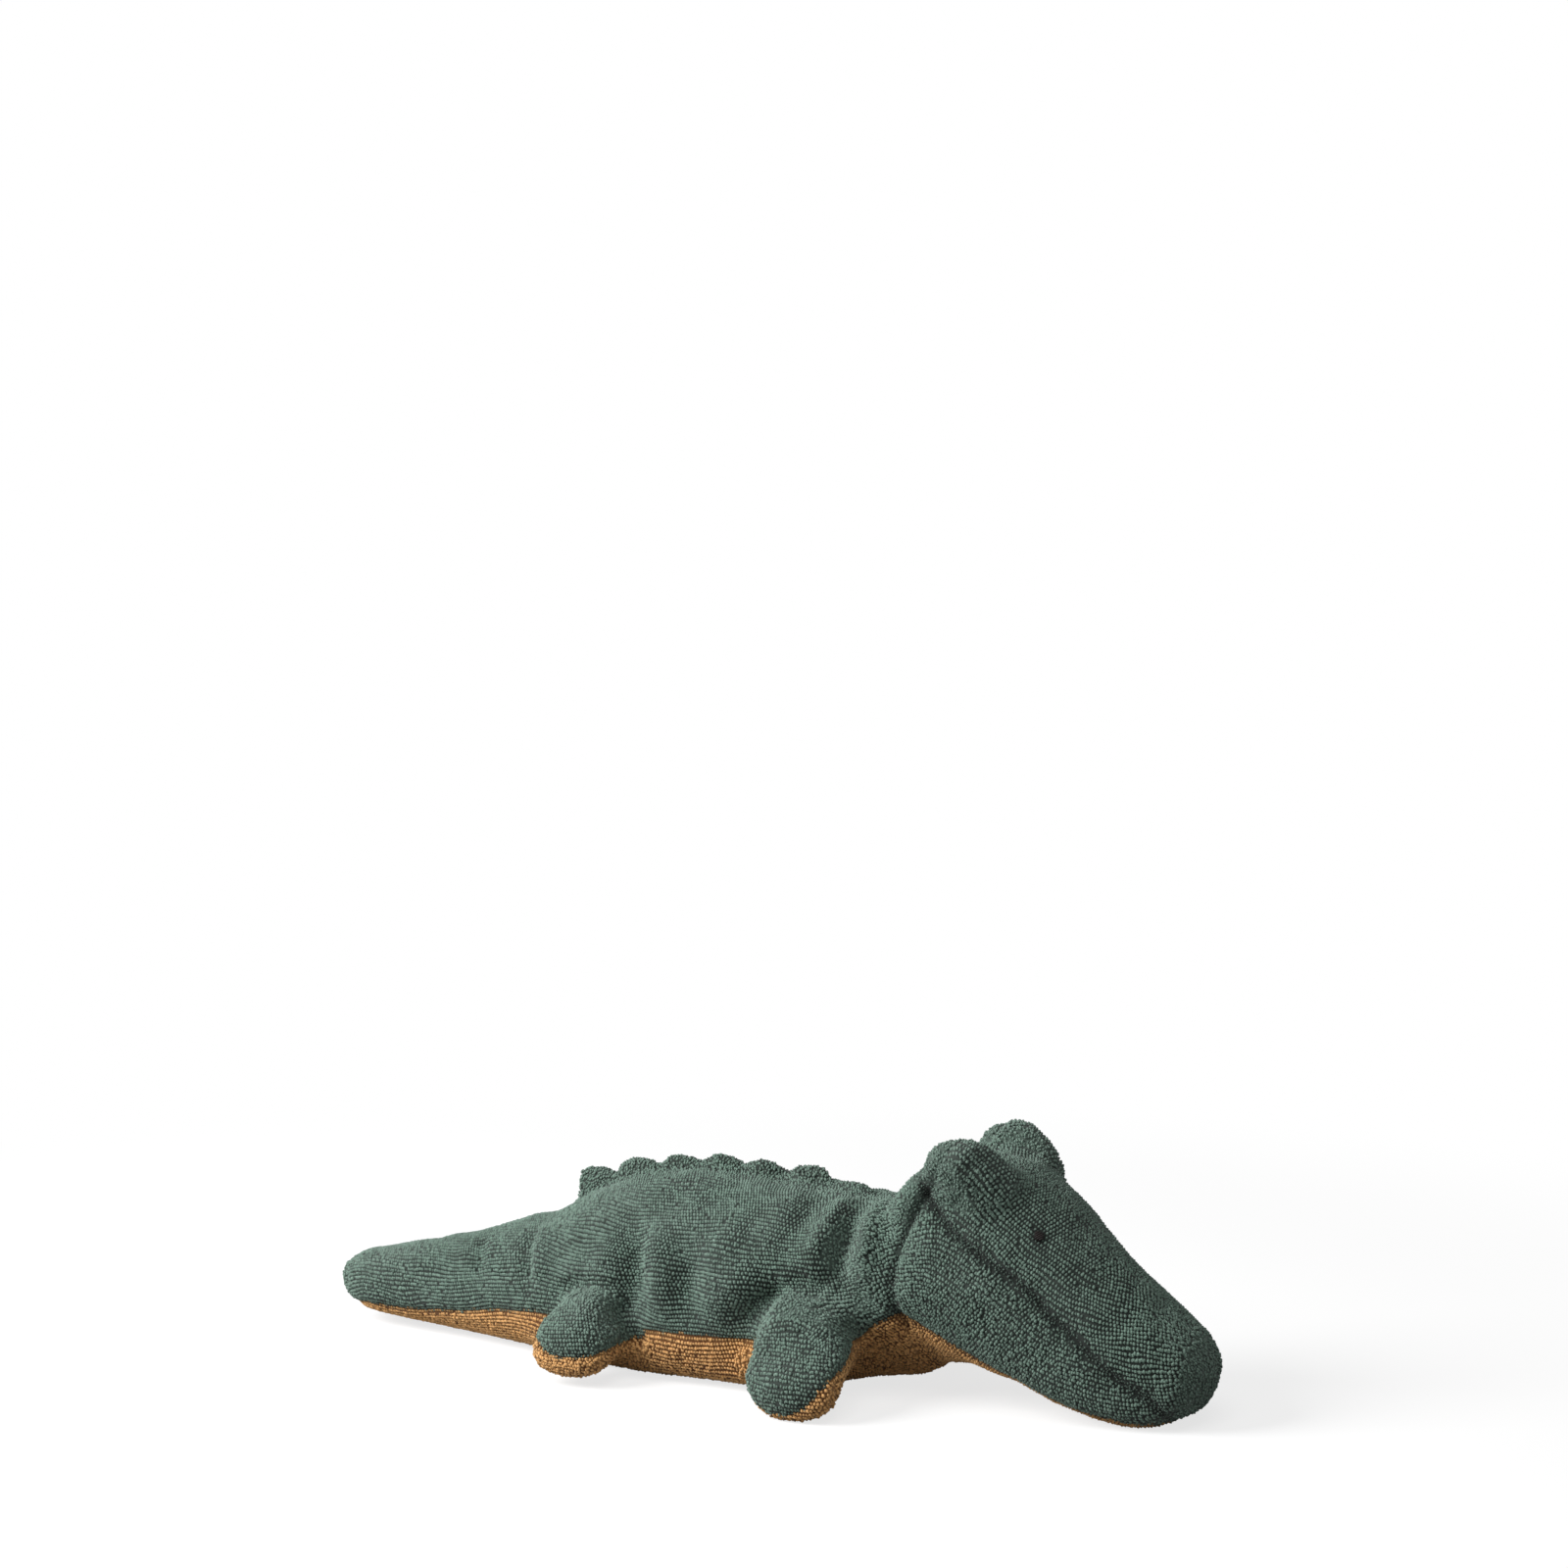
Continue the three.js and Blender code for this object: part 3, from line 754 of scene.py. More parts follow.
class Skin:
    """The one continuous cover that the panels are cut from."""

    # share of the way to its neighbours' middle that a point moves in one round of smoothing
    EASE = 0.6
    # share of a radius within which Skin.near is 1
    CORE = 0.55

    def __init__(self, points: np.ndarray, quads: np.ndarray) -> None:
        """Keeps the skin and finds its edges.

        Args:
            points: Rows of coordinates in millimetres.
            quads: Four corners of each face.
        """
        self.points = points
        self.quads = quads
        pairs = np.concatenate([quads[:, [0, 1]], quads[:, [1, 2]], quads[:, [2, 3]], quads[:, [3, 0]]])
        self.pairs = np.unique(np.sort(pairs, axis=1), axis=0)
        self.degree = np.bincount(self.pairs.ravel(), minlength=len(points))

    @classmethod
    def grown(cls, forms: list[Surface], voxel: float) -> "Skin":
        """Wraps all the forms in one closed skin.

        Args:
            forms: Closed surfaces that overlap.
            voxel: Size of the skin's faces.

        Returns:
            The skin.
        """
        points = np.concatenate([form.points for form in forms])
        faces: list[tuple[int, ...]] = []
        begun = 0
        for form in forms:
            faces += [tuple(corner + begun for corner in face) for face in form.faces]
            begun += len(form.points)
        holder = bare_object("forms", points, faces)
        wrap = holder.modifiers.new("wrap", "REMESH")
        wrap.mode = "VOXEL"
        wrap.voxel_size = voxel * MM
        mesh = evaluated_mesh(holder)
        corners = np.empty(len(mesh.loops), int)
        mesh.loops.foreach_get("vertex_index", corners)
        skin = cls(points_of(mesh), corners.reshape(-1, 4))
        bpy.data.objects.remove(holder)
        bpy.data.meshes.remove(mesh)
        return skin

    def normals(self) -> np.ndarray:
        """Finds which way is out.

        Returns:
            The outward direction at each point.
        """
        corners = self.points[self.quads]
        across = np.cross(corners[:, 2] - corners[:, 0], corners[:, 3] - corners[:, 1])
        total = np.zeros_like(self.points)
        for corner in range(4):
            for axis in range(3):
                total[:, axis] += np.bincount(self.quads[:, corner], across[:, axis], len(self.points))
        return total / np.maximum(np.linalg.norm(total, axis=1, keepdims=True), 1e-9)

    def soften(self, values: np.ndarray, rounds: int, share: np.ndarray | float = 1.0) -> np.ndarray:
        """Evens out values over neighbouring points.

        Args:
            values: One row for each point.
            rounds: How many times to even them out.
            share: How much of each round a point takes.

        Returns:
            The evened values.
        """
        first, second = self.pairs.T
        weight = (share[:, None] if isinstance(share, np.ndarray) else share) * self.EASE
        for _ in range(rounds):
            total = np.zeros_like(values)
            for axis in range(values.shape[1]):
                total[:, axis] += np.bincount(first, values[second, axis], len(values))
                total[:, axis] += np.bincount(second, values[first, axis], len(values))
            values = values + weight * (total / self.degree[:, None] - values)
        return values

    def relax(self, rounds: int, share: np.ndarray | float = 1.0) -> None:
        """Smooths the skin, where share is above 0."""
        self.points = self.soften(self.points, rounds, share)

    def push(self, amount: np.ndarray) -> None:
        """Moves each point along its outward direction."""
        self.points = self.points + self.normals() * amount[:, None]

    def near(self, centre: Point, radius: float) -> np.ndarray:
        """Weight that falls from 1 at a centre to 0 at a radius, on both sides of the toy."""
        mirrored = self.points * (1, 0, 1) + np.abs(self.points) * (0, 1, 0)
        return 1 - smooth_step(np.linalg.norm(mirrored - centre, axis=1), radius * self.CORE, radius)


@dataclass(frozen=True)
class Filling:
    """Fibre that presses the cover outward between its seams, worked out as simulated cloth."""

    voxel: float = 4.5
    pressure: float = 4.0
    frames: int = 20
    # how far from a seam the cloth is held back, and the share of this where it is held fully
    seam_reach: float = 4.0
    held_share: float = 0.4
    # heights at which the floor holds the cloth fully and no longer
    floor_hold: tuple[float, float] = (2.0, 4.0)
    # the most that a point moves, and the rounds that even out how far they move
    cap: float = 2.4
    smoothings: int = 2
    # the least weight by which a point is held at all
    least_held: float = 0.02
    # neighbours that a point reads, and the distance added to theirs before it weighs them
    neighbours: int = 6
    nearest: float = 0.5

    def pressed(self, skin: Skin) -> np.ndarray:
        """Simulates the filling on a coarse copy of the skin.

        Args:
            skin: The skin before its folds.

        Returns:
            How far each point of the skin is pressed outward, in millimetres.
        """
        coarse = Skin.grown([Surface(skin.points, skin.quads.tolist())], self.voxel)
        cover = bare_object("cover", coarse.points, coarse.quads.tolist())
        held = cover.vertex_groups.new(name="held")
        weights = self.seam_weights(coarse.points)
        for index in np.flatnonzero(weights > self.least_held):
            held.add([int(index)], float(weights[index]), "REPLACE")
        cloth = cover.modifiers.new("cloth", "CLOTH")
        cloth.settings.vertex_group_mass = "held"
        cloth.settings.use_pressure = True
        cloth.settings.uniform_pressure_force = self.pressure
        cloth.settings.effector_weights.gravity = 0
        for number in range(1, self.frames + 1):
            bpy.context.scene.frame_set(number)
        swollen = evaluated_mesh(cover)
        bpy.context.scene.frame_set(1)
        amount = ((points_of(swollen) - coarse.points) * coarse.normals()).sum(1)
        bpy.data.objects.remove(cover)
        bpy.data.meshes.remove(swollen)
        amount -= np.median(amount)
        amount = coarse.soften(np.clip(amount, -self.cap, self.cap)[:, None], self.smoothings)[:, 0]
        log.info("filling: %.1f mm in to %.1f mm out", amount.min(), amount.max())
        return self.carried(coarse.points, amount, skin.points)

    def seam_weights(self, points: np.ndarray) -> np.ndarray:
        """Holds the cloth back along its seams and where it rests on the floor.

        Args:
            points: Rows of coordinates.

        Returns:
            A weight for each point, where 1 is held still.
        """
        start = self.seam_reach * self.held_share
        weights = 1 - smooth_step(np.abs(seam_height(points)), start, self.seam_reach)
        for line in (CHEEK_SEAM, NECK_SEAM):
            near = 1 - smooth_step(from_line(points, line), start, self.seam_reach)
            weights = np.maximum(weights, near * beside_middle(points))
        return np.maximum(weights, 1 - smooth_step(points[:, 2], *self.floor_hold))

    def carried(self, places: np.ndarray, values: np.ndarray, points: np.ndarray) -> np.ndarray:
        """Carries values over to other points.

        Args:
            places: Where the values are known.
            values: One value for each place.
            points: Where they are wanted.

        Returns:
            One value for each point, weighed over its nearest places.
        """
        tree = KDTree(len(places))
        for index, place in enumerate(places):
            tree.insert(place, index)
        tree.balance()
        found = np.empty(len(points))
        for index, point in enumerate(points):
            near = tree.find_n(point, self.neighbours)
            weights = np.array([1 / (apart + self.nearest) ** 2 for _, _, apart in near])
            found[index] = weights @ values[[which for _, which, _ in near]] / weights.sum()
        return found


# waves to its scale that the slowest and the fastest wave of uneven() has
WAVE_RANGE = (0.55, 1.3)


def uneven(points: np.ndarray, scale: float, seed: int, waves: int = 9) -> np.ndarray:
    """Soft unevenness between about -1 and 1, without any repeat that shows.

    Args:
        points: Rows of coordinates in millimetres.
        scale: Rough distance between two lumps.
        seed: Which unevenness to draw.
        waves: How many waves are laid over one another.

    Returns:
        One value for each point.
    """
    draw = np.random.default_rng(seed)
    total = np.zeros(len(points))
    for _ in range(waves):
        direction = draw.normal(size=3)
        direction *= 2 * np.pi / scale * draw.uniform(*WAVE_RANGE) / np.linalg.norm(direction)
        total += np.sin(points @ direction + draw.uniform(0, 2 * np.pi))
    return total / math.sqrt(waves)


@dataclass(frozen=True)
class Join:
    """Where two forms meet and the cloth spans the corner between them."""

    centre: Point
    radius: float
    rounds: int


@dataclass
class Body:
    """Grows, folds and seams the skin."""

    voxel: float = 1.9
    floor: float = 0.9
    trunk: Trunk = field(default_factory=Trunk)
    head: Head = field(default_factory=Head)
    scutes: Scutes = field(default_factory=Scutes)
    front_leg: Leg = field(default_factory=lambda: Leg((49.8, 44.7, 26.0), 20.0, 17.0, 38.0, -6.5, 11.6))
    hind_leg: Leg = field(default_factory=lambda: Leg((-56.8, 45.1, 24.0), 17.0, 16.0, 30.0, 4.4, 15.8))
    joins: tuple[Join, ...] = (
        Join((49.0, 50.0, 38.0), 34.0, 26),
        Join((-58.0, 50.0, 34.0), 30.0, 26),
        Join((90.0, 20.0, 90.0), 30.0, 40),
        Join((84.0, 34.0, 40.0), 34.0, 20),
        Join((134.0, 26.0, 98.0), 26.0, 20),
        Join((112.0, 0.0, 108.0), 22.0, 12),
    )
    # depth, size and draw of the small lumps all over
    lumps: tuple[tuple[float, float, int], ...] = ((0.55, 34, 3), (0.3, 15, 8))
    # the left side's folds lie further ahead and are shallower
    left_fold_ahead: float = 5.0
    left_fold_share: float = 0.75
    belly_groove: Groove = Groove(((1.3, 1.9, 0.0),))
    neck_groove: Groove = Groove(((2.4, 1.8, 0.0), (0.6, 5.0, 0.0)))
    cheek_groove: Groove = Groove(((2.5, 1.8, 0.0), (0.9, 4.5, 0.0), (-0.8, 5.0, 11.0)))
    # heights over which the lumps and the belly's groove come in, above the floor
    lumps_begin: tuple[float, float] = (3.0, 16.0)
    belly_groove_begins: tuple[float, float] = (2.0, 6.0)
    # shares of the cheek seam's length over which its groove comes in
    cheek_groove_begins: tuple[float, float] = (0.04, 0.1)
    # how much of their depth the neck seam loses over the crown and the cheek seam towards the snout
    neck_groove_loss: float = 0.35
    cheek_groove_loss: float = 0.65

    def skin(self) -> Skin:
        """Makes the cover.

        Returns:
            The finished skin.
        """
        forms = [self.trunk.surface(), *self.head.surfaces(), *self.scutes.surfaces(self.trunk)]
        for leg in (self.front_leg, self.hind_leg):
            forms += [leg.surface(side) for side in SIDES]
        skin = Skin.grown(forms, self.voxel)
        self.blend_joins(skin)
        skin.push(Filling().pressed(skin))
        self.fold(skin)
        self.sew(skin)
        self.settle(skin)
        return skin

    def blend_joins(self, skin: Skin) -> None:
        """Rounds off where the forms meet, as cloth does.

        Args:
            skin: The skin, which is changed.
        """
        skin.relax(3)
        for join in self.joins:
            skin.relax(join.rounds, skin.near(join.centre, join.radius))

    def fold(self, skin: Skin) -> None:
        """Presses the folds into the skin and makes it a little lumpy.

        Args:
            skin: The skin, which is changed.
        """
        points = skin.points
        amount = sum(depth * uneven(points, scale, draw) for depth, scale, draw in self.lumps)
        amount *= smooth_step(points[:, 2], *self.lumps_begin)
        for side in SIDES:
            ahead, strength = (self.left_fold_ahead, self.left_fold_share) if side > 0 else (0.0, 1.0)
            for fold in SIDE_FOLDS:
                amount += fold.amount(points[:, [0, 2]] - (ahead, 0.0), side * points[:, 1], strength)
        skin.push(amount)

    def sew(self, skin: Skin) -> None:
        """Sinks the seams and dimples.

        Args:
            skin: The skin, which is changed.
        """
        points = skin.points
        amount = -self.belly_groove.depth(seam_height(points))
        amount *= smooth_step(points[:, 2], *self.belly_groove_begins)
        facing = beside_middle(points)
        lower = 1 - self.neck_groove_loss * smooth_step(points[:, 2], *CROWN_FADE)
        amount -= facing * lower * self.neck_groove.depth(from_line(points, NECK_SEAM))
        apart, share = path_distance(points[:, [0, 2]], np.array(CHEEK_SEAM, float))
        begun = smooth_step(share, *self.cheek_groove_begins)
        amount -= facing * begun * (1 - self.cheek_groove_loss * share) * self.cheek_groove.depth(apart)
        for spot, radius, depth in DIMPLES:
            amount += depth * skin.near(spot, radius)
        skin.push(amount)

    def settle(self, skin: Skin) -> None:
        """Lets the skin rest on the floor.

        Args:
            skin: The skin, which is changed.
        """
        skin.relax(1)
        low = skin.points[:, 2] < self.floor
        skin.points[low, 2] = self.floor


# ---- Cutting the skin into panels


@dataclass(frozen=True)
class Bend:
    """Where the cloth is cut between two bodies, along a direction through the part's origin."""

    parent: str
    body: str
    direction: Point
    # distances along the direction, in millimetres
    begins: float
    ends: float

    @property
    def start(self) -> np.ndarray:
        """Where the second body's share of the cloth begins."""
        return np.array(self.direction) / np.linalg.norm(self.direction) * self.begins

    @property
    def end(self) -> np.ndarray:
        """A further point along the direction, which with the start gives the way to measure along."""
        return np.array(self.direction) / np.linalg.norm(self.direction) * self.ends

    def passed(self, points: np.ndarray) -> np.ndarray:
        """Millimetres that each point lies past the start."""
        direction = (self.end - self.start) / np.linalg.norm(self.end - self.start)
        return (points - self.start) @ direction


NECK_SLANT = (0.942, 0.0, 0.334)
# out to one side and down, from the toy's middle through a leg's root
LEG_SLANT = (0.87, -0.5)
# where each pair of legs stands along the toy, and how far it reaches from there
LEG_PLACES = {"front_leg": (49.0, 34.0), "hind_leg": (-58.0, 27.0)}
LEGS = tuple((leg, side, f"{leg}_{SIDE_NAMES[side]}") for leg in LEG_PLACES for side in SIDES)
BENDS: dict[str, Bend] = {
    "neck": Bend("torso", "neck", NECK_SLANT, 76.5, 106.5),
    "head": Bend("neck", "head", NECK_SLANT, 106.5, 133.0),
    "tail_base": Bend("torso", "tail_base", (-1.0, 0.0, 0.0), 82.0, 114.0),
    "tail_tip": Bend("tail_base", "tail_tip", (-1.0, 0.0, 0.0), 146.0, 170.0),
}
BENDS |= {name: Bend("torso", name, (0.0, side * LEG_SLANT[0], LEG_SLANT[1]), 39.0, 56.0) for _, side, name in LEGS}


class Cutter:
    """Cuts the skin into one panel for each cloth and body."""

    # the furthest that a point is moved onto a seam, and the least slope that a move is worked out with
    REACH = 0.95
    LEAST_SLOPE = 0.05
    # the step over which a slope is measured
    PROBE = 0.1
    # points lower than this rest on the floor and stay
    RESTING = 1.5
    # height over the spine and distance from the middle within which the scalloped strip lies
    STRIP_RISE = 1.2
    STRIP_REACH = 8.0

    def __init__(self, skin: Skin) -> None:
        """Snaps the skin to its seams.

        Args:
            skin: The skin, whose points are moved.
        """
        self.skin = skin
        self.snap(seam_height)
        self.snap(cheek_height)
        self.middles = skin.points[skin.quads].mean(axis=1)

    def snap(self, measure: Callable[[np.ndarray], np.ndarray]) -> None:
        """Moves points that lie close to a seam onto it.

        Args:
            measure: Gives each point's height above the seam.
        """
        points = self.skin.points
        height = measure(points)
        slope = np.stack([(measure(points + step) - height) / self.PROBE for step in np.eye(3) * self.PROBE], 1)
        normals = self.skin.normals()
        slope -= normals * (slope * normals).sum(1, keepdims=True)
        steep = (slope**2).sum(1)
        move = -height / np.maximum(steep, self.LEAST_SLOPE)
        near = (np.abs(height) < self.REACH * np.sqrt(steep)) & (points[:, 2] > self.RESTING)
        self.skin.points = points + np.where(near, move, 0)[:, None] * slope

    def bodies(self) -> np.ndarray:
        """Shares the faces out among the bodies.

        Returns:
            The name of the body that carries each face.
        """
        middles = self.middles
        names = np.full(len(middles), "torso", dtype=object)
        for name in ("tail_base", "tail_tip", "neck", "head"):
            names[BENDS[name].passed(middles) > 0] = name
        for leg, _, name in LEGS:
            x, span = LEG_PLACES[leg]
            beside = np.abs(middles[:, 0] - x) < span
            names[beside & (BENDS[name].passed(middles) > 0)] = name
        return names

    def panels(self, trunk: Trunk) -> dict[str, np.ndarray]:
        """Cuts the panels.

        Args:
            trunk: The trunk whose spine the scalloped strip stands on.

        Returns:
            The faces of each panel, by the panel's name.
        """
        middles = self.middles
        bodies = self.bodies()
        green = seam_height(middles) > 0
        crown = cheek_height(middles) > 0
        left = middles[:, 1] > 0
        strip = middles[:, 2] > trunk.tops(middles[:, 0]) + self.STRIP_RISE
        strip &= (np.abs(middles[:, 1]) < self.STRIP_REACH) & (bodies == "torso")
        names = np.empty(len(middles), dtype=object)
        for name in set(bodies):
            held = bodies == name
            if name == "head":
                names[held & crown & green] = "head_crown_panel"
                names[held & ~crown & green & left] = "head_cheek_panel_left"
                names[held & ~crown & green & ~left] = "head_cheek_panel_right"
                names[held & ~green] = "head_jaw_panel"
            else:
                upper, under = ("upper", "sole") if "leg" in name else ("back_panel", "belly_panel")
                names[held & green] = f"{name}_{upper}"
                names[held & ~green] = f"{name}_{under}"
        names[strip] = "back_scute_strip"
        return {name: np.flatnonzero(names == name) for name in sorted(set(names))}


# ---- Finishes


def linear(code: str) -> tuple[float, float, float, float]:
    """A linear colour from a six-digit screen colour."""
    parts = [int(code[start : start + 2], 16) / 255 for start in (0, 2, 4)]
    return (*[part / 12.92 if part <= 0.04045 else ((part + 0.055) / 1.055) ** 2.4 for part in parts], 1.0)


class Tree:
    """Shorthand for building a node tree."""

    def __init__(self, tree: bpy.types.NodeTree) -> None:
        """Keeps the tree that nodes go into."""
        self.tree = tree

    def add(self, kind: str, inputs: dict[str | int, object] | None = None, **settings: object) -> bpy.types.Node:
        """Adds a node.

        Args:
            kind: The node's type.
            inputs: Values or sockets for its inputs, by name or number.
            **settings: The node's own properties.

        Returns:
            The new node.
        """
        node = self.tree.nodes.new(kind)
        for name, value in settings.items():
            setattr(node, name, value)
        for key, value in (inputs or {}).items():
            if isinstance(value, bpy.types.NodeSocket):
                self.tree.links.new(value, node.inputs[key])
            else:
                node.inputs[key].default_value = value
        return node

    @cached_property
    def given(self) -> bpy.types.bpy_prop_collection:
        """What a geometry tree is given, by name."""
        return self.add("NodeGroupInput").outputs

    def link(self, start: bpy.types.NodeSocket, end: bpy.types.NodeSocket) -> None:
        """Joins an output to an input."""
        self.tree.links.new(start, end)

    def maths(self, operation: str, first: object, second: object = 0.0, third: object = 0.0) -> bpy.types.NodeSocket:
        """Adds a maths node and returns its result."""
        kind = "ShaderNodeMath"
        return self.add(kind, {0: first, 1: second, 2: third}, operation=operation).outputs[0]

    def mix(self, factor: object, first: object, second: object, blend: str = "MIX") -> bpy.types.NodeSocket:
        """Mixes two colours and returns the result."""
        node = self.add("ShaderNodeMix", {0: factor, 6: first, 7: second}, data_type="RGBA", blend_type=blend)
        return node.outputs[2]

    def noise(self, scale: float, detail: float) -> bpy.types.NodeSocket:
        """Adds a noise fixed to the piece, and returns its height."""
        place = self.add("ShaderNodeTexCoord").outputs["Object"]
        return self.add("ShaderNodeTexNoise", {"Vector": place, "Scale": scale, "Detail": detail}).outputs["Fac"]

    def attribute(self, name: str) -> bpy.types.NodeSocket:
        """Reads a number that the piece's mesh carries, in a material."""
        return self.add("ShaderNodeAttribute", attribute_name=name).outputs["Fac"]

    def named(self, name: str, kind: str = "FLOAT") -> bpy.types.NodeSocket:
        """Reads what the cloth's mesh carries, in a geometry tree."""
        return self.add("GeometryNodeInputNamedAttribute", {"Name": name}, data_type=kind).outputs[0]

    def drawn(self, low: object, high: object) -> bpy.types.NodeSocket:
        """Draws a random value or direction for each loop, by the seed that the tree is given.

        Args:
            low: The least value, or three of them.
            high: The greatest.

        Returns:
            The drawn value.
        """
        kind, seed = "FunctionNodeRandomValue", self.given["Seed"]
        if isinstance(low, tuple):
            return self.add(kind, {0: low, 1: high, "Seed": seed}, data_type="FLOAT_VECTOR").outputs[0]
        return self.add(kind, {2: low, 3: high, "Seed": seed}, data_type="FLOAT").outputs[1]

    def shaded(self, colour: object, shade: bpy.types.NodeSocket) -> bpy.types.NodeSocket:
        """Darkens or lightens a colour by a factor and returns the result."""
        grey = self.add("ShaderNodeCombineColor", {0: shade, 1: shade, 2: shade}).outputs[0]
        return self.mix(1.0, colour, grey, "MULTIPLY")


def blank(owner: bpy.types.Material | bpy.types.World) -> Tree:
    """Empties the node tree of a material or a world.

    Args:
        owner: The material or world, whose own nodes are removed.

    Returns:
        Its tree, ready for new nodes.
    """
    owner.use_nodes = True
    owner.node_tree.nodes.clear()
    return Tree(owner.node_tree)


@dataclass(frozen=True)
class TerryFinish:
    """Looped terry cloth, with painted shade that is dark between the loops and lighter at their tips."""

    name: str
    # screen colours of the ground between the loops, which is painted shade, of their tips and of worn places
    deep: str
    tip: str
    worn: str
    sheen: float = 0.25
    sheen_roughness: float = 0.6
    roughness: float = 0.95
    shine: float = 0.15
    # how fast the painted shade at a loop's foot lightens towards its tip
    shade_falloff: float = 0.5
    # scales of the worn places and of the yarn's twist, to the metre
    worn_scale: float = 28.0
    yarn_scale: float = 1500.0
    unevenness: float = 0.5
    worn_from: float = 0.35
    # how much the loops differ in lightness, one from the other and along their yarn
    loop_range: float = 0.34
    yarn_range: float = 0.5
    # a loop's fullness and its lightness there, for the pulled-in loops of a seam, darkened as painted shade, and for
    # full ones
    seam_shade: tuple[float, float] = (0.6, 0.4)
    full: tuple[float, float] = (1.0, 1.0)
    relief: float = 0.0004

    def material(self) -> bpy.types.Material:
        """Builds the cloth.

        Returns:
            The material.
        """
        material = bpy.data.materials.new(self.name)
        tree = blank(material)
        broad = tree.noise(self.worn_scale, 3.0)
        yarn = tree.noise(self.yarn_scale, 2.0)
        # painted shade: the ground and the loops' feet are dark, their tips lighter
        shade_falloff = tree.maths("POWER", tree.attribute("pile"), self.shade_falloff)
        colour = tree.mix(shade_falloff, linear(self.deep), linear(self.tip))
        faded = tree.maths("MULTIPLY", tree.maths("SUBTRACT", broad, self.worn_from), self.unevenness)
        colour = tree.mix(faded, colour, linear(self.worn))
        # painted shade: loops that are pulled in, at the seams and round the eyes, are darker
        ends = {1: self.seam_shade[0], 2: self.full[0], 3: self.seam_shade[1], 4: self.full[1]}
        painted_seam_shade = tree.add("ShaderNodeMapRange", {0: tree.attribute("full"), **ends}).outputs[0]
        loop = tree.maths("MULTIPLY_ADD", tree.attribute("tint"), self.loop_range, 1 - self.loop_range / 2)
        twist = tree.maths("MULTIPLY_ADD", yarn, self.yarn_range, 1 - self.yarn_range / 2)
        colour = tree.shaded(colour, tree.maths("MULTIPLY", tree.maths("MULTIPLY", loop, painted_seam_shade), twist))
        bump = tree.add("ShaderNodeBump", {"Height": yarn, "Strength": 0.5, "Distance": self.relief}).outputs[0]
        inputs = {"Base Color": colour, "Normal": bump, "Roughness": self.roughness, "Sheen Weight": self.sheen}
        cloth = tree.add("ShaderNodeBsdfPrincipled", inputs)
        cloth.inputs["Sheen Roughness"].default_value = self.sheen_roughness
        cloth.inputs["Specular IOR Level"].default_value = self.shine
        tree.add("ShaderNodeOutputMaterial", {0: cloth.outputs[0]})
        return material


@dataclass(frozen=True)
class ThreadFinish:
    """Satin embroidery thread with a fine twist."""

    name: str
    colour: str
    roughness: float = 0.6
    shine: float = 0.25
    twist_scale: float = 2600.0
    twist_range: float = 0.8
    relief: float = 0.0002

    def material(self) -> bpy.types.Material:
        """Builds the thread.

        Returns:
            The material.
        """
        material = bpy.data.materials.new(self.name)
        tree = blank(material)
        twist = tree.noise(self.twist_scale, 3.0)
        shade = tree.maths("MULTIPLY_ADD", twist, self.twist_range, 1 - self.twist_range / 2)
        colour = tree.shaded(linear(self.colour), shade)
        bump = tree.add("ShaderNodeBump", {"Height": twist, "Strength": 0.6, "Distance": self.relief}).outputs[0]
        inputs = {"Base Color": colour, "Roughness": self.roughness, "Normal": bump}
        thread = tree.add("ShaderNodeBsdfPrincipled", inputs)
        thread.inputs["Specular IOR Level"].default_value = self.shine
        tree.add("ShaderNodeOutputMaterial", {0: thread.outputs[0]})
        return material


# the first colour of each cloth is the painted shade of its ground
GREEN_TERRY = TerryFinish("green_terry", "252f29", "799385", "84918a", sheen=0.18)
TAN_TERRY = TerryFinish("tan_terry", "6b4322", "f2bd7c", "d6a469", sheen=0.12)
EYE_THREAD = ThreadFinish("eye_thread", "140e0b")


# ---- The pile of loops


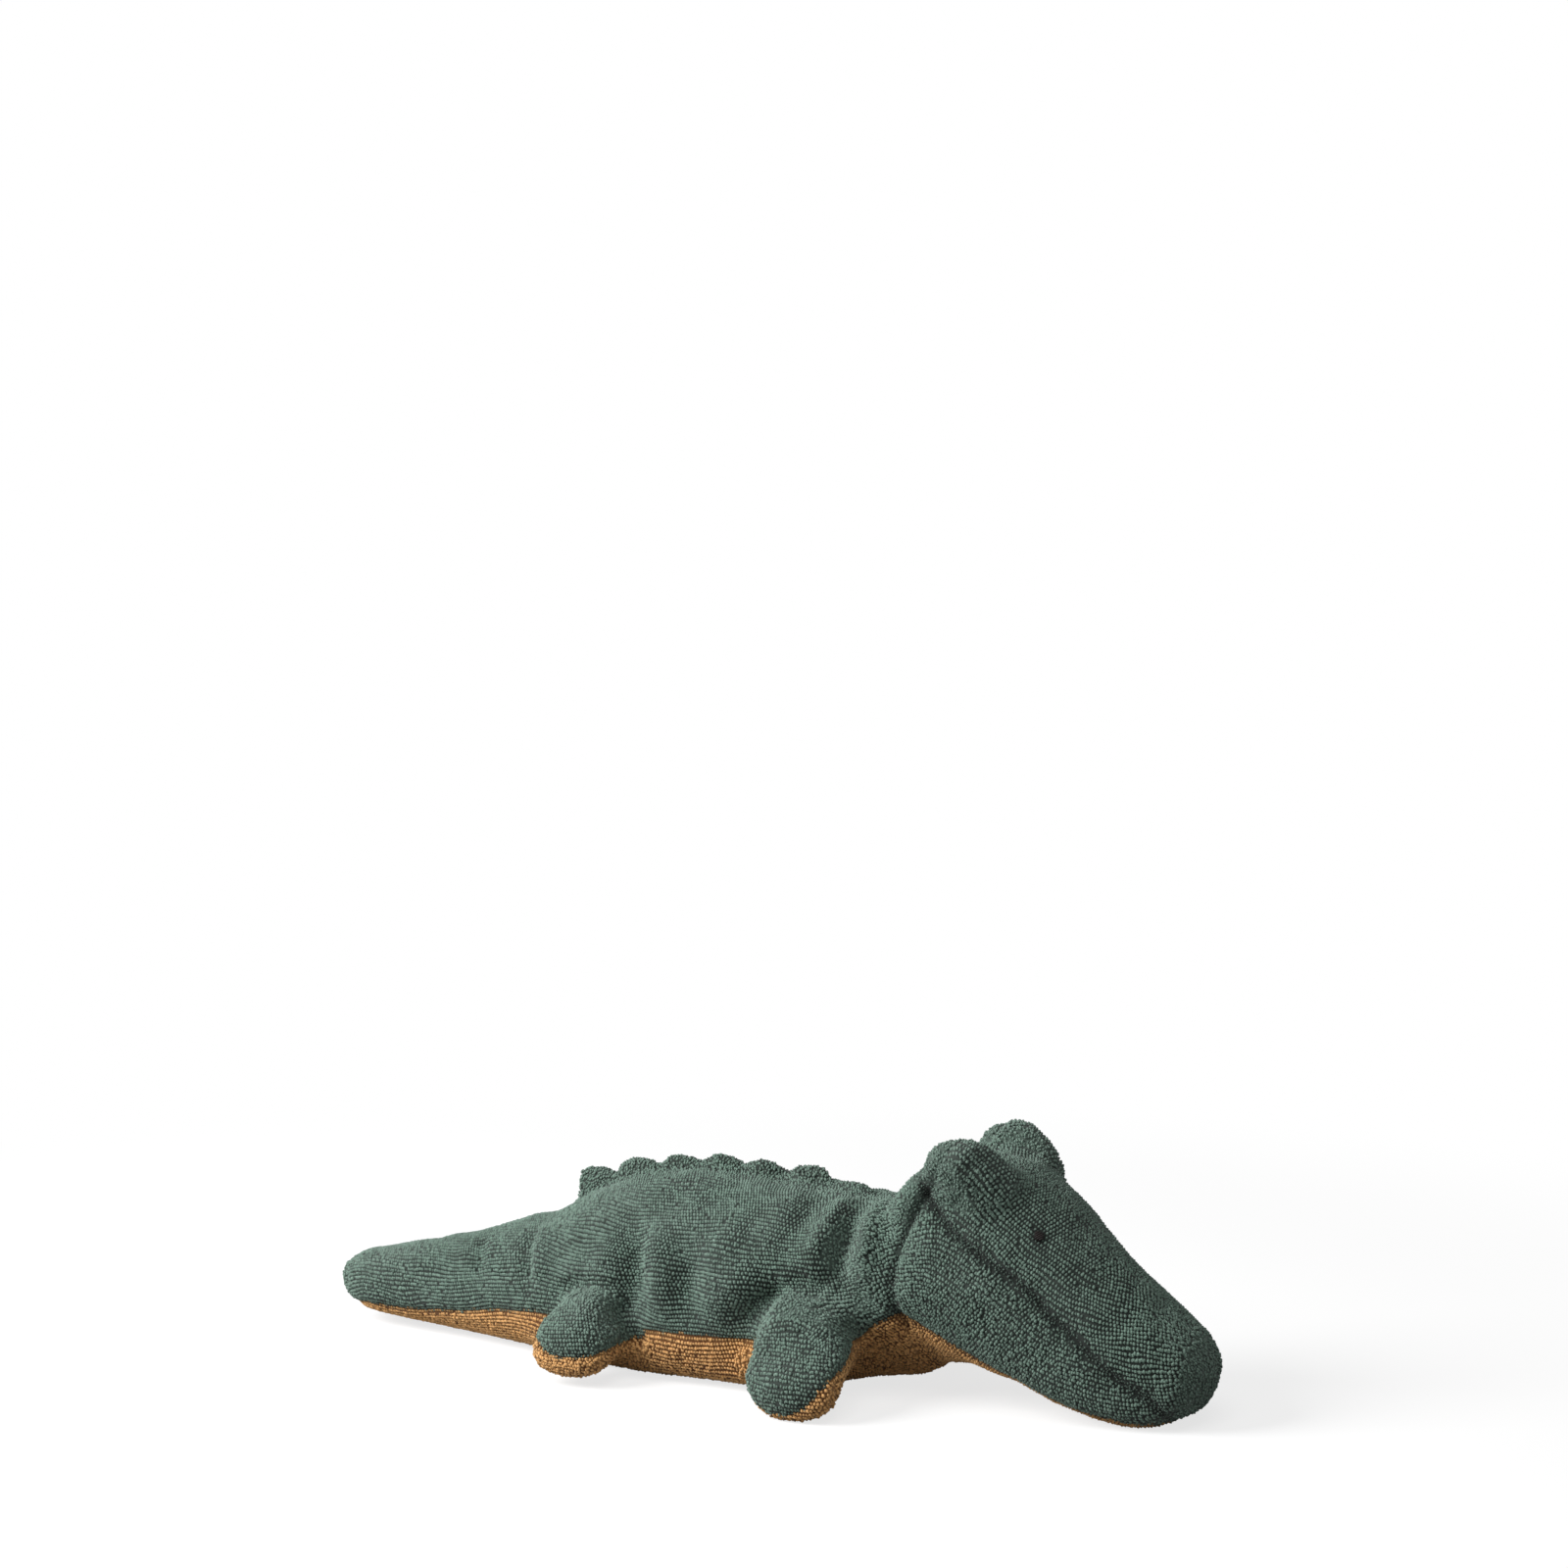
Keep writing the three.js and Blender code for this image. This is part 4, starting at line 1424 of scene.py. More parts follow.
@dataclass(frozen=True)
class Pile:
    """Yarn loops that stand on the cloth in rows. Lengths are in millimetres."""

    # least distance between two loops where they stand in rows, and where they stand loose
    spacing: float = 0.85
    loose_spacing: float = 0.98
    most_per_square_metre: float = 4.0e6
    row_pitch: float = 1.85
    loop_pitch: float = 1.38
    # loops nearer than this share of the spacing become one
    merge_share: float = 0.6
    half_width: float = 0.34
    height: float = 0.95
    yarn: float = 0.66
    segments: int = 4
    yarn_sides: int = 4
    # how far a loop's arc goes on below its widest place
    foot_degrees: float = 25.0
    sizes: tuple[float, float] = (0.82, 1.16)
    loose_size: float = 0.84
    jitter: float = 0.5
    # turn of every loop against its row, and the disorder of single loops, in radians
    slant: float = 0.45
    sway: Point = (0.25, 0.25, 0.5)
    floor: float = 0.05

    def group(self) -> bpy.types.NodeTree:
        """Builds the node tree that grows the pile.

        Returns:
            The tree, with a named input for most of its sizes.
        """
        group = bpy.data.node_groups.new("terry_pile", "GeometryNodeTree")
        sockets = group.interface
        sockets.new_socket("Cloth", in_out="INPUT", socket_type="NodeSocketGeometry")
        for name, value in (
            ("Spacing", self.spacing * MM),
            ("Loose Spacing", self.loose_spacing * MM),
            ("Loose Size", self.loose_size),
            ("Half Width", self.half_width * MM),
            ("Height", self.height * MM),
            ("Yarn", self.yarn * MM),
            ("Row Pitch", self.row_pitch),
            ("Loop Pitch", self.loop_pitch),
            ("Jitter", self.jitter * MM),
            ("Slant", self.slant),
            ("Floor", self.floor * MM),
        ):
            sockets.new_socket(name, in_out="INPUT", socket_type="NodeSocketFloat").default_value = value
        sockets.new_socket("Seed", in_out="INPUT", socket_type="NodeSocketInt")
        sockets.new_socket("Finish", in_out="INPUT", socket_type="NodeSocketMaterial")
        sockets.new_socket("Cloth", in_out="OUTPUT", socket_type="NodeSocketGeometry")
        tree = Tree(group)
        spots = self.line_up(tree, self.scattered(tree))
        inputs = {"Points": spots, "Instance": self.loop(tree), "Rotation": self.turn(tree)}
        placed = tree.add("GeometryNodeInstanceOnPoints", {**inputs, "Scale": self.scale(tree)})
        tint = tree.drawn(0.0, 1.0)
        tinted = tree.add(
            "GeometryNodeStoreNamedAttribute",
            {"Geometry": placed.outputs[0], "Name": "tint", "Value": tint},
            data_type="FLOAT",
            domain="INSTANCE",
        )
        joined = tree.add("GeometryNodeJoinGeometry")
        tree.link(tinted.outputs[0], joined.inputs[0])
        tree.link(tree.given["Cloth"], joined.inputs[0])
        solid = tree.add("GeometryNodeRealizeInstances", {0: joined.outputs[0]})
        rested = self.rest(tree, solid.outputs[0])
        dressed = tree.add("GeometryNodeSetMaterial", {"Geometry": rested, "Material": tree.given["Finish"]})
        tree.add("NodeGroupOutput", {0: dressed.outputs[0]})
        return group

    def scattered(self, tree: Tree) -> bpy.types.NodeSocket:
        """Scatters places for loops, closer where the rows are tidy.

        Args:
            tree: The tree to add to.

        Returns:
            The points.
        """
        tidy = tree.maths("GREATER_THAN", tree.named("tidy"), 0.5)
        spots = tree.add("GeometryNodeJoinGeometry")
        for spacing, share in (("Spacing", tidy), ("Loose Spacing", tree.maths("SUBTRACT", 1.0, tidy))):
            scatter = tree.add(
                "GeometryNodeDistributePointsOnFaces",
                {
                    "Mesh": tree.given["Cloth"],
                    "Distance Min": tree.given[spacing],
                    "Density Max": self.most_per_square_metre,
                    "Density Factor": share,
                    "Seed": tree.given["Seed"],
                },
                distribute_method="POISSON",
            )
            tree.link(scatter.outputs["Points"], spots.inputs[0])
        return spots.outputs[0]

    def scale(self, tree: Tree) -> bpy.types.NodeSocket:
        """Sizes each loop by draw, by the cloth's fullness, and smaller where the pile is loose.

        Args:
            tree: The tree to add to.

        Returns:
            The scale of each loop.
        """
        rest = tree.maths("SUBTRACT", 1.0, tree.given["Loose Size"])
        fine = tree.maths("MULTIPLY_ADD", tree.named("tidy"), rest, tree.given["Loose Size"])
        full = tree.maths("MULTIPLY", tree.named("full"), fine)
        return tree.maths("MULTIPLY", tree.drawn(*self.sizes), full)

    def loop(self, tree: Tree) -> bpy.types.NodeSocket:
        """Builds one fat loop of yarn, upright on its two feet.

        Args:
            tree: The tree to add to.

        Returns:
            The loop's geometry, which carries its own height as a share in "pile".
        """
        start = -math.radians(self.foot_degrees)
        ends = {"Start Angle": start, "Sweep Angle": math.pi - 2 * start}
        bow = {"Resolution": self.segments, "Radius": tree.given["Half Width"], **ends}
        arc = tree.add("GeometryNodeCurveArc", bow)
        sides = {"Resolution": self.yarn_sides, "Radius": tree.given["Yarn"]}
        section = tree.add("GeometryNodeCurvePrimitiveCircle", sides)
        tube = tree.add("GeometryNodeCurveToMesh", {0: arc.outputs[0], 1: section.outputs[0], "Fill Caps": True})
        smooth = tree.add("GeometryNodeSetShadeSmooth", {0: tube.outputs[0]})
        full = tree.maths("ADD", tree.given["Half Width"], tree.given["Yarn"])
        stretch = tree.maths("DIVIDE", tree.given["Height"], full)
        scale = tree.add("ShaderNodeCombineXYZ", {0: 1.0, 1: stretch, 2: 1.0}).outputs[0]
        placing = {"Rotation": (math.pi / 2, 0, 0), "Scale": scale}
        upright = tree.add("GeometryNodeTransform", {"Geometry": smooth.outputs[0], **placing})
        rise = tree.add("ShaderNodeSeparateXYZ", {0: tree.add("GeometryNodeInputPosition").outputs[0]}).outputs[2]
        share = tree.add("ShaderNodeClamp", {0: tree.maths("DIVIDE", rise, tree.given["Height"])}).outputs[0]
        stored = tree.add(
            "GeometryNodeStoreNamedAttribute",
            {"Geometry": upright.outputs[0], "Name": "pile", "Value": share},
            data_type="FLOAT",
            domain="POINT",
        )
        return stored.outputs[0]

    def line_up(self, tree: Tree, points: bpy.types.NodeSocket) -> bpy.types.NodeSocket:
        """Moves the loops' places into rows, one loop to a place, then loosens the rows a little.

        Args:
            tree: The tree to add to.
            points: The scattered places.

        Returns:
            The points in their rows.
        """
        row, tidy = tree.named("row"), tree.named("tidy")
        counted = tree.maths("FLOOR", tree.maths("DIVIDE", row, tree.given["Row Pitch"]))
        middle = tree.maths("MULTIPLY", tree.maths("ADD", counted, 0.5), tree.given["Row Pitch"])
        sideways = tree.maths("MULTIPLY", tree.maths("SUBTRACT", middle, row), tidy)
        # every other row is set off by half a loop
        staggered = tree.maths("MULTIPLY", counted, 0.5)
        along = tree.maths("SUBTRACT", tree.maths("DIVIDE", tree.named("run"), tree.given["Loop Pitch"]), staggered)
        missing = tree.maths("SUBTRACT", tree.maths("ADD", tree.maths("FLOOR", along), 0.5), along)
        missing = tree.maths("MULTIPLY", tree.maths("MULTIPLY", missing, tree.given["Loop Pitch"]), tidy)
        shifts = []
        for name, amount in (("across", sideways), ("onward", missing)):
            way = tree.named(name, "FLOAT_VECTOR")
            amount = tree.maths("MULTIPLY", amount, MM)
            shifts.append(tree.add("ShaderNodeVectorMath", {0: way, "Scale": amount}, operation="SCALE").outputs[0])
        shift = tree.add("ShaderNodeVectorMath", {0: shifts[0], 1: shifts[1]}, operation="ADD").outputs[0]
        lined = tree.add("GeometryNodeSetPosition", {"Geometry": points, "Offset": shift})
        near = tree.maths("MULTIPLY", tree.given["Spacing"], self.merge_share)
        merged = tree.add("GeometryNodeMergeByDistance", {0: lined.outputs[0], "Distance": near})
        loose = tree.maths("MULTIPLY", tree.maths("SUBTRACT", 1.0, tree.named("neat")), tree.given["Jitter"])
        draw = tree.drawn((-1, -1, -1), (1, 1, 1))
        stray = tree.add("ShaderNodeVectorMath", {0: draw, "Scale": loose}, operation="SCALE").outputs[0]
        return tree.add("GeometryNodeSetPosition", {"Geometry": merged.outputs[0], "Offset": stray}).outputs[0]

    def turn(self, tree: Tree) -> bpy.types.NodeSocket:
        """Stands the loops up, facing across their rows with a slant and a little disorder.

        Args:
            tree: The tree to add to.

        Returns:
            The turn of each loop.
        """
        out, across = tree.named("upright", "FLOAT_VECTOR"), tree.named("across", "FLOAT_VECTOR")
        kind = "FunctionNodeAlignRotationToVector"
        upright = tree.add(kind, {"Vector": out}, axis="Z").outputs[0]
        facing = tree.add(kind, {"Rotation": upright, "Vector": across}, axis="X", pivot_axis="Z").outputs[0]
        sway = tree.drawn(tuple(-most for most in self.sway), self.sway)
        slant = tree.add("ShaderNodeCombineXYZ", {2: tree.given["Slant"]}).outputs[0]
        swayed = tree.add("ShaderNodeVectorMath", {0: sway, 1: slant}, operation="ADD").outputs[0]
        inputs = {"Rotation": facing, "Rotate By": swayed}
        return tree.add("FunctionNodeRotateRotation", inputs, rotation_space="LOCAL").outputs[0]

    def rest(self, tree: Tree, solid: bpy.types.NodeSocket) -> bpy.types.NodeSocket:
        """Presses the loops under the toy flat on the floor.

        Args:
            tree: The tree to add to.
            solid: Cloth and loops as one mesh.

        Returns:
            The mesh, nowhere lower than the floor.
        """
        place = tree.add("ShaderNodeSeparateXYZ", {0: tree.add("GeometryNodeInputPosition").outputs[0]}).outputs
        level = tree.maths("MAXIMUM", place[2], tree.given["Floor"])
        held = tree.add("ShaderNodeCombineXYZ", {0: place[0], 1: place[1], 2: level}).outputs[0]
        return tree.add("GeometryNodeSetPosition", {"Geometry": solid, "Position": held}).outputs[0]


class Knit:
    """Where the rows of loops run on each part of the cover."""

    # angle round a paw in degrees, from under it to over its top, and the length of cloth up to there
    PAW_ARC: Line = (
        (-90, -84),
        (-60, -75),
        (-20, -57),
        (-5, -47.5),
        (10, -38.4),
        (30, -28),
        (60, -14),
        (90, 0),
        (120, 14),
    )
    # distance out and height of the line that these angles turn about
    PAW_MIDDLE = (45.0, 15.0)
    ARC_STEPS = 12
    # where the paws begin: past this slant, and this far from the toy's middle
    PAW_PAST = 31.0
    PAW_OUT = 42.0
    # the step over which the rows' slope is measured, and the range of slopes that a shift is worked out with
    PROBE = 0.2
    STEEPNESS = (0.3, 4)
    # how far the rows may be squeezed or stretched, and the evenness below which loops aren't lined up
    STRETCH = 0.3
    LEAST_EVEN = 0.25
    # neatness of the worst rows, and what the best ones have more
    NEATNESS = (0.62, 0.3)
    CHEEK_NEATNESS = 0.5
    PAW_NEATNESS = 0.7
    # size, draw and range of the patches in which the rows are neater
    PATCHES = (38, 24)
    PATCH_RANGE = (-0.6, 0.6)
    # the cheeks' loops are loose ahead of this
    CHEEK_FROM = 96.0
    # half the width of ragged loops along the cheek seam, out from the middle and up to a height; their ground keeps
    # its full painted shade
    RAGGED = 2.6
    RAGGED_OUT = 12.0
    RAGGED_UP = 102.0
    # the scalloped strip's loops: this near to the middle and above this height; their ground keeps its full painted
    # shade
    STRIP_OUT = 7.0
    STRIP_UP = 60.0
    # the head's seams with the half width in which loops are smaller and darker as painted shade, by how much, and how
    # far this fades upwards
    HEAD_SEAMS = ((CHEEK_SEAM, 2.3), (NECK_SEAM, 2.0))
    HEAD_SEAM_LOSS = 0.36
    CROWN_LOSS = 0.8
    # what loops lose of their size and in which half width, at the belly seam and round the eyes; the material darkens
    # them by as much, as painted shade
    BELLY_SEAM_LOSS = (0.25, 1.2)
    EYE_LOSS = (0.5, 2.6)
    # heights over which the belly seam's loss comes in, and above which the eyes' holds
    BELLY_BEGINS = (2.0, 5.0)
    EYE_UP = 50.0
    SOLE_SIZE = 1.15
    # how much the painted shade of the ground lightens between loose loops
    LOOSE_GROUND_SHADE_LIFT = 0.1
    # lengths of the rows' wander, as distance, size of its waves and draw
    ROW_WANDER = ((0.45, 13, 21), (0.8, 40, 22))
    RUN_WANDER = ((0.4, 17, 23),)

    def __init__(self, body: Body) -> None:
        """Keeps the forms that the rows follow."""
        self.trunk, self.head = body.trunk, body.head

    @staticmethod
    def arc(across: np.ndarray, up: np.ndarray, width: np.ndarray, reach: np.ndarray) -> np.ndarray:
        """Length along an oval from its side to each point, in millimetres.

        Args:
            across: Distance of each point from the oval's middle.
            up: Height of each point over the widest level, either way.
            width: Half the oval's width.
            reach: Height of the oval's half.

        Returns:
            The lengths, with the sign of up.
        """
        turn = np.arctan2(np.abs(up) / reach, np.abs(across) / width)
        total = np.zeros_like(turn)
        for step in range(Knit.ARC_STEPS):
            angle = turn * (step + 0.5) / Knit.ARC_STEPS
            total += np.hypot(width * np.sin(angle), reach * np.cos(angle)) * turn / Knit.ARC_STEPS
        return np.sign(up) * total

    def trunk_rows(self, points: np.ndarray) -> np.ndarray:
        """Lays rows beside the side seam, from tail to neck.

        Args:
            points: Rows of coordinates.

        Returns:
            How far across the rows each point lies.
        """
        x = np.clip(points[:, 0], self.trunk.table[0, 0], self.trunk.table[-1, 0])
        width, top, bottom, level, _ = self.trunk.read(x).T
        line = np.array(BELLY_SEAM)
        seam = np.interp(x, line[:, 0], line[:, 1]) - level
        up = points[:, 2] - level
        reach = np.where(up > 0, top - level, level - bottom)
        seam_reach = np.where(seam > 0, top - level, level - bottom)
        seam_out = width * np.sqrt(np.clip(1 - (seam / seam_reach) ** 2, 0, 1))
        return self.arc(points[:, 1], up, width, reach) - self.arc(seam_out, seam, width, seam_reach)

    def local(self, points: np.ndarray) -> np.ndarray:
        """The points in the head's own frame."""
        return (points - np.array(self.head.neck)) @ self.head.turn

    def head_rows(self, points: np.ndarray) -> np.ndarray:
        """Lays rows along the head.

        Args:
            points: Rows of coordinates.

        Returns:
            How far across the rows each point lies.
        """
        local = self.local(points)
        width, top, bottom, level, _ = self.head.read(local[:, 0]).T
        up = local[:, 2] - level
        reach = np.where(up > 0, top - level, level - bottom)
        return self.arc(local[:, 1], up, width, reach)

    def leg_rows(self, points: np.ndarray) -> np.ndarray:
        """Lays rows across a leg, from its root over the paw to the sole.

        Args:
            points: Rows of coordinates.

        Returns:
            How far across the rows each point lies.
        """
        out, level = self.PAW_MIDDLE
        table = np.array(self.PAW_ARC)
        turn = np.degrees(np.arctan2(points[:, 2] - level, np.abs(points[:, 1]) - out))
        return np.interp(turn, table[:, 0], table[:, 1])

    @staticmethod
    def on_head(points: np.ndarray) -> np.ndarray:
        """Which points lie ahead of the neck's seam."""
        line = np.array(NECK_SEAM)
        return points[:, 0] > np.interp(points[:, 2], line[:, 1], line[:, 0])

    @staticmethod
    def on_leg(points: np.ndarray, leg: str) -> np.ndarray:
        """Finds the points of a pair of legs.

        Args:
            points: Rows of coordinates.
            leg: Name of the pair.

        Returns:
            True for each point on it.
        """
        x, span = LEG_PLACES[leg]
        slanted = LEG_SLANT[0] * np.abs(points[:, 1]) + LEG_SLANT[1] * points[:, 2]
        beside = np.abs(points[:, 0] - x) < span
        return (slanted > Knit.PAW_PAST) & beside & (np.abs(points[:, 1]) > Knit.PAW_OUT)

    def rows(self, points: np.ndarray) -> np.ndarray:
        """Measures how far across the rows points lie.

        Args:
            points: Rows of coordinates.

        Returns:
            Millimetres for each point.
        """
        rows = self.trunk_rows(points)
        ahead = self.on_head(points)
        rows[ahead] = self.head_rows(points[ahead])
        for leg in LEG_PLACES:
            held = self.on_leg(points, leg)
            rows[held] = self.leg_rows(points[held])
        return rows

    def runs(self, points: np.ndarray) -> np.ndarray:
        """How far along its row each point lies."""
        return np.where(self.on_head(points), self.local(points)[:, 0], points[:, 0])

    def laid(self, skin: Skin) -> dict[str, np.ndarray]:
        """Lays the rows over the skin.

        Args:
            skin: The finished skin.

        Returns:
            For each point, its place across and along the rows, the ways there, and how neat and full they are.
        """
        points, normals = skin.points, skin.normals()
        out, height = np.abs(points[:, 1]), points[:, 2]
        row, across, steep = self.mapped(self.rows, points, normals)
        run, onward, quick = self.mapped(self.runs, points, normals)
        even = np.exp(-(((steep - 1) / self.STRETCH) ** 2 + ((quick - 1) / self.STRETCH) ** 2))
        tidy = (even > self.LEAST_EVEN).astype(float)
        patches = smooth_step(uneven(points, *self.PATCHES), *self.PATCH_RANGE)
        neat = (self.NEATNESS[0] + self.NEATNESS[1] * patches) * even
        green = seam_height(points) > 0
        neat[(points[:, 0] > self.CHEEK_FROM) & (cheek_height(points) < 0) & green] *= self.CHEEK_NEATNESS
        sewn = (from_line(points, CHEEK_SEAM) < self.RAGGED) & (out > self.RAGGED_OUT) & (height < self.RAGGED_UP)
        tidy[sewn] = 0
        neat[sewn] = 0
        for leg in LEG_PLACES:
            neat[self.on_leg(points, leg) & green] *= self.PAW_NEATNESS
        strip = (out < self.STRIP_OUT) & (height > self.STRIP_UP)
        tidy[strip] = 0
        for values, wander in ((row, self.ROW_WANDER), (run, self.RUN_WANDER)):
            for distance, size, draw in wander:
                values += distance * uneven(points, size, draw)
        return {
            "row": row,
            "run": run,
            "across": across,
            "onward": onward,
            "upright": normals,
            "neat": neat,
            "tidy": tidy,
            "full": self.fullness(points),
            # painted shade of the ground: lighter between loose loops, full along the cheek seam and on the scalloped
            # strip
            "pile": self.LOOSE_GROUND_SHADE_LIFT * (1 - tidy) * ~sewn * ~strip,
        }

    @staticmethod
    def mapped(
        measure: Callable[[np.ndarray], np.ndarray], points: np.ndarray, normals: np.ndarray
    ) -> tuple[np.ndarray, np.ndarray, np.ndarray]:
        """Measures points and finds which way the measure grows on the surface.

        Args:
            measure: Gives a length for each point.
            points: Rows of coordinates.
            normals: Outward directions.

        Returns:
            The lengths, the step that adds one millimetre to them, and how steeply they grow.
        """
        here = measure(points)
        probe = Knit.PROBE
        way = np.stack([(measure(points + step) - here) / probe for step in np.eye(3) * probe], 1)
        way -= normals * (way * normals).sum(1, keepdims=True)
        steep = np.linalg.norm(way, axis=1)
        return here, way / np.clip(steep, *Knit.STEEPNESS)[:, None] ** 2, steep

    @staticmethod
    def fullness(points: np.ndarray) -> np.ndarray:
        """Sizes the loops: pulled in at seams and round the eyes, and chunkier on the soles. The material darkens
        pulled-in loops as painted shade.

        Args:
            points: Rows of coordinates.

        Returns:
            The size at each point, where 1 is a loop of the open cloth.
        """
        full = np.ones(len(points))
        fade = 1 - Knit.CROWN_LOSS * smooth_step(points[:, 2], *CROWN_FADE)
        for line, width in Knit.HEAD_SEAMS:
            near = bell(from_line(points, line), width) * beside_middle(points)
            full -= Knit.HEAD_SEAM_LOSS * near * fade
        height = seam_height(points)
        loss, width = Knit.BELLY_SEAM_LOSS
        full -= loss * bell(height, width) * smooth_step(points[:, 2], *Knit.BELLY_BEGINS)
        for leg in LEG_PLACES:
            full[Knit.on_leg(points, leg) & (height < 0)] *= Knit.SOLE_SIZE
        x, y = Eyes.place
        apart = np.hypot(points[:, 0] - x, np.abs(points[:, 1]) - y)
        loss, width = Knit.EYE_LOSS
        return full - loss * bell(apart, width) * (points[:, 2] > Knit.EYE_UP)


class Upholsterer:
    """Turns panels of skin into finished pieces."""

    def __init__(self, skin: Skin, knit: dict[str, np.ndarray], finishes: dict[Slot, bpy.types.Material]) -> None:
        """Gets the pile ready.

        Args:
            skin: The finished skin.
            knit: What each point of it carries for the rows.
            finishes: The material of each slot.
        """
        self.skin = skin
        self.knit = knit
        self.finishes = finishes
        self.group = Pile().group()

    def piece(self, name: str, faces: np.ndarray, slot: Slot, seed: int) -> bpy.types.Object:
        """Makes one finished panel.

        Args:
            name: Name of the panel.
            faces: Which faces of the skin it holds.
            slot: The cloth that it is cut from.
            seed: Which draw of loops it gets.

        Returns:
            The panel's object.
        """
        quads = self.skin.quads[faces]
        used, corners = np.unique(quads, return_inverse=True)
        made = bare_object(name, self.skin.points[used], corners.reshape(-1, 4).tolist())
        for key, values in self.knit.items():
            kind, field = ("FLOAT_VECTOR", "vector") if values.ndim > 1 else ("FLOAT", "value")
            layer = made.data.attributes.new(key, kind, "POINT")
            layer.data.foreach_set(field, values[used].astype(np.float32).ravel())
        self.grow_pile(made, slot, seed)
        return made

    def grow_pile(self, piece: bpy.types.Object, slot: Slot, seed: int) -> None:
        """Grows the pile on a panel and keeps it as plain mesh.

        Args:
            piece: The panel's object, which is changed.
            slot: The cloth that it is cut from.
            seed: Which draw of loops it gets.
        """
        modifier = piece.modifiers.new("pile", "NODES")
        modifier.node_group = self.group
        keys = {item.name: item.identifier for item in self.group.interface.items_tree if item.in_out == "INPUT"}
        modifier[keys["Seed"]] = seed
        modifier[keys["Finish"]] = self.finishes[slot]
        grown = evaluated_mesh(piece)
        piece.modifiers.remove(modifier)
        piece.data = grown
        grown.name = piece.name


def cloth_of(name: str) -> Slot:
    """The cloth that a panel is cut from."""
    return Slot.TAN if name.endswith(("belly_panel", "sole", "jaw_panel")) else Slot.GREEN


def body_of(name: str) -> str:
    """Finds the body that carries a panel.

    Args:
        name: Name of the panel, which starts with its body's.

    Returns:
        The body's name, and the torso's for the scalloped strip.
    """
    for body in sorted(frame["bodies"], key=len, reverse=True):
        if name.startswith(body):
            return body
    return "torso"


def stuffing_of(name: str) -> tuple[str, ...]:
    """Finds the stuffing that a panel stands for as well, which one panel of each body does.

    Args:
        name: Name of the panel.

    Returns:
        The stuffing's name, or nothing.
    """
    if name.endswith(("back_panel", "upper")):
        return (f"{body_of(name)}_stuffing",)
    return ("head_stuffing",) if name == "head_crown_panel" else ()


@dataclass
class Eyes:
    """Embroidered eyes: short satin stitches side by side."""

    place: tuple[float, float] = (151.2, 26.6)
    lengths: tuple[float, ...] = (2.8, 4.6, 5.6, 4.8, 3.0)
    pitch: float = 0.84
    thickness: float = 0.5
    # height of a stitch's ends over the cloth, and what its middle has more
    lies: float = 0.3
    arch: float = 0.8
    # least thickness at a stitch's ends, as a share squared
    least_bulge: float = 0.02
    # way from one stitch to the next on the left eye, before it is laid on the cloth
    ahead: Point = (0.75, 0.3, -0.6)
    sides: int = 6
    steps: int = 7
    # height from which the cloth is looked for
    above_metres: float = 0.2

    def build(self, skin: Skin, finish: bpy.types.Material) -> list[bpy.types.Object]:
        """Sews both eyes onto the skin.

        Args:
            skin: The finished skin.
            finish: The thread.

        Returns:
            The eyes' objects.
        """
        surface = BVHTree.FromPolygons((skin.points * MM).tolist(), skin.quads.tolist())
        made = []
        for side in SIDES:
            above = Vector((self.place[0] * MM, side * self.place[1] * MM, self.above_metres))
            spot, normal, _, _ = surface.ray_cast(above, Vector((0, 0, -1)))
            eye = self.eye(side, np.array(spot) / MM, np.array(normal))
            eye.data.materials.append(finish)
            made.append(eye)
        return made

    def stitch(self, length: float, middle: np.ndarray, beside: np.ndarray, out: np.ndarray) -> Surface:
        """Makes one arched stitch.

        Args:
            length: Its length.
            middle: The spot on the cloth under its middle.
            beside: Direction to the next stitch.
            out: Direction out of the cloth.

        Returns:
            The closed surface.
        """
        along = np.cross(out, beside)
        rings = []
        for share in np.linspace(-0.5, 0.5, self.steps):
            bulge = 1 - (2 * share) ** 2
            radius = self.thickness * math.sqrt(max(bulge, self.least_bulge))
            centre = middle + along * (share * length) + out * (self.lies + self.arch * bulge)
            ring = oval(radius, radius, radius, (2, 2), self.sides)
            rings.append(centre + ring[:, :1] * beside + ring[:, 1:] * out)
        return lofted(np.array(rings), rings[0].mean(axis=0), rings[-1].mean(axis=0))

    def eye(self, side: int, spot: np.ndarray, normal: np.ndarray) -> bpy.types.Object:
        """Sews one eye.

        Args:
            side: 1 for the left and -1 for the right.
            spot: Its middle on the skin.
            normal: The skin's outward direction there.

        Returns:
            The eye's object.
        """
        ahead = np.array(self.ahead) * (1, side, 1)
        ahead -= normal * (ahead @ normal)
        ahead /= np.linalg.norm(ahead)
        points, faces = [], []
        begun = 0
        for index, length in enumerate(self.lengths):
            offset = (index - (len(self.lengths) - 1) / 2) * self.pitch
            thread = self.stitch(length, spot + ahead * offset, ahead, normal)
            points.append(thread.points)
            faces += [tuple(corner + begun for corner in face) for face in thread.faces]
            begun += len(thread.points)
        return bare_object(f"eye_stitches_{SIDE_NAMES[side]}", np.concatenate(points), faces)


# ---- Studio


@dataclass(frozen=True)
class Lamp:
    """A round soft lamp that faces the toy. Its angles are in degrees and its lengths in metres."""

    name: str
    azimuth: float
    elevation: float
    distance: float
    size: float
    watts: float


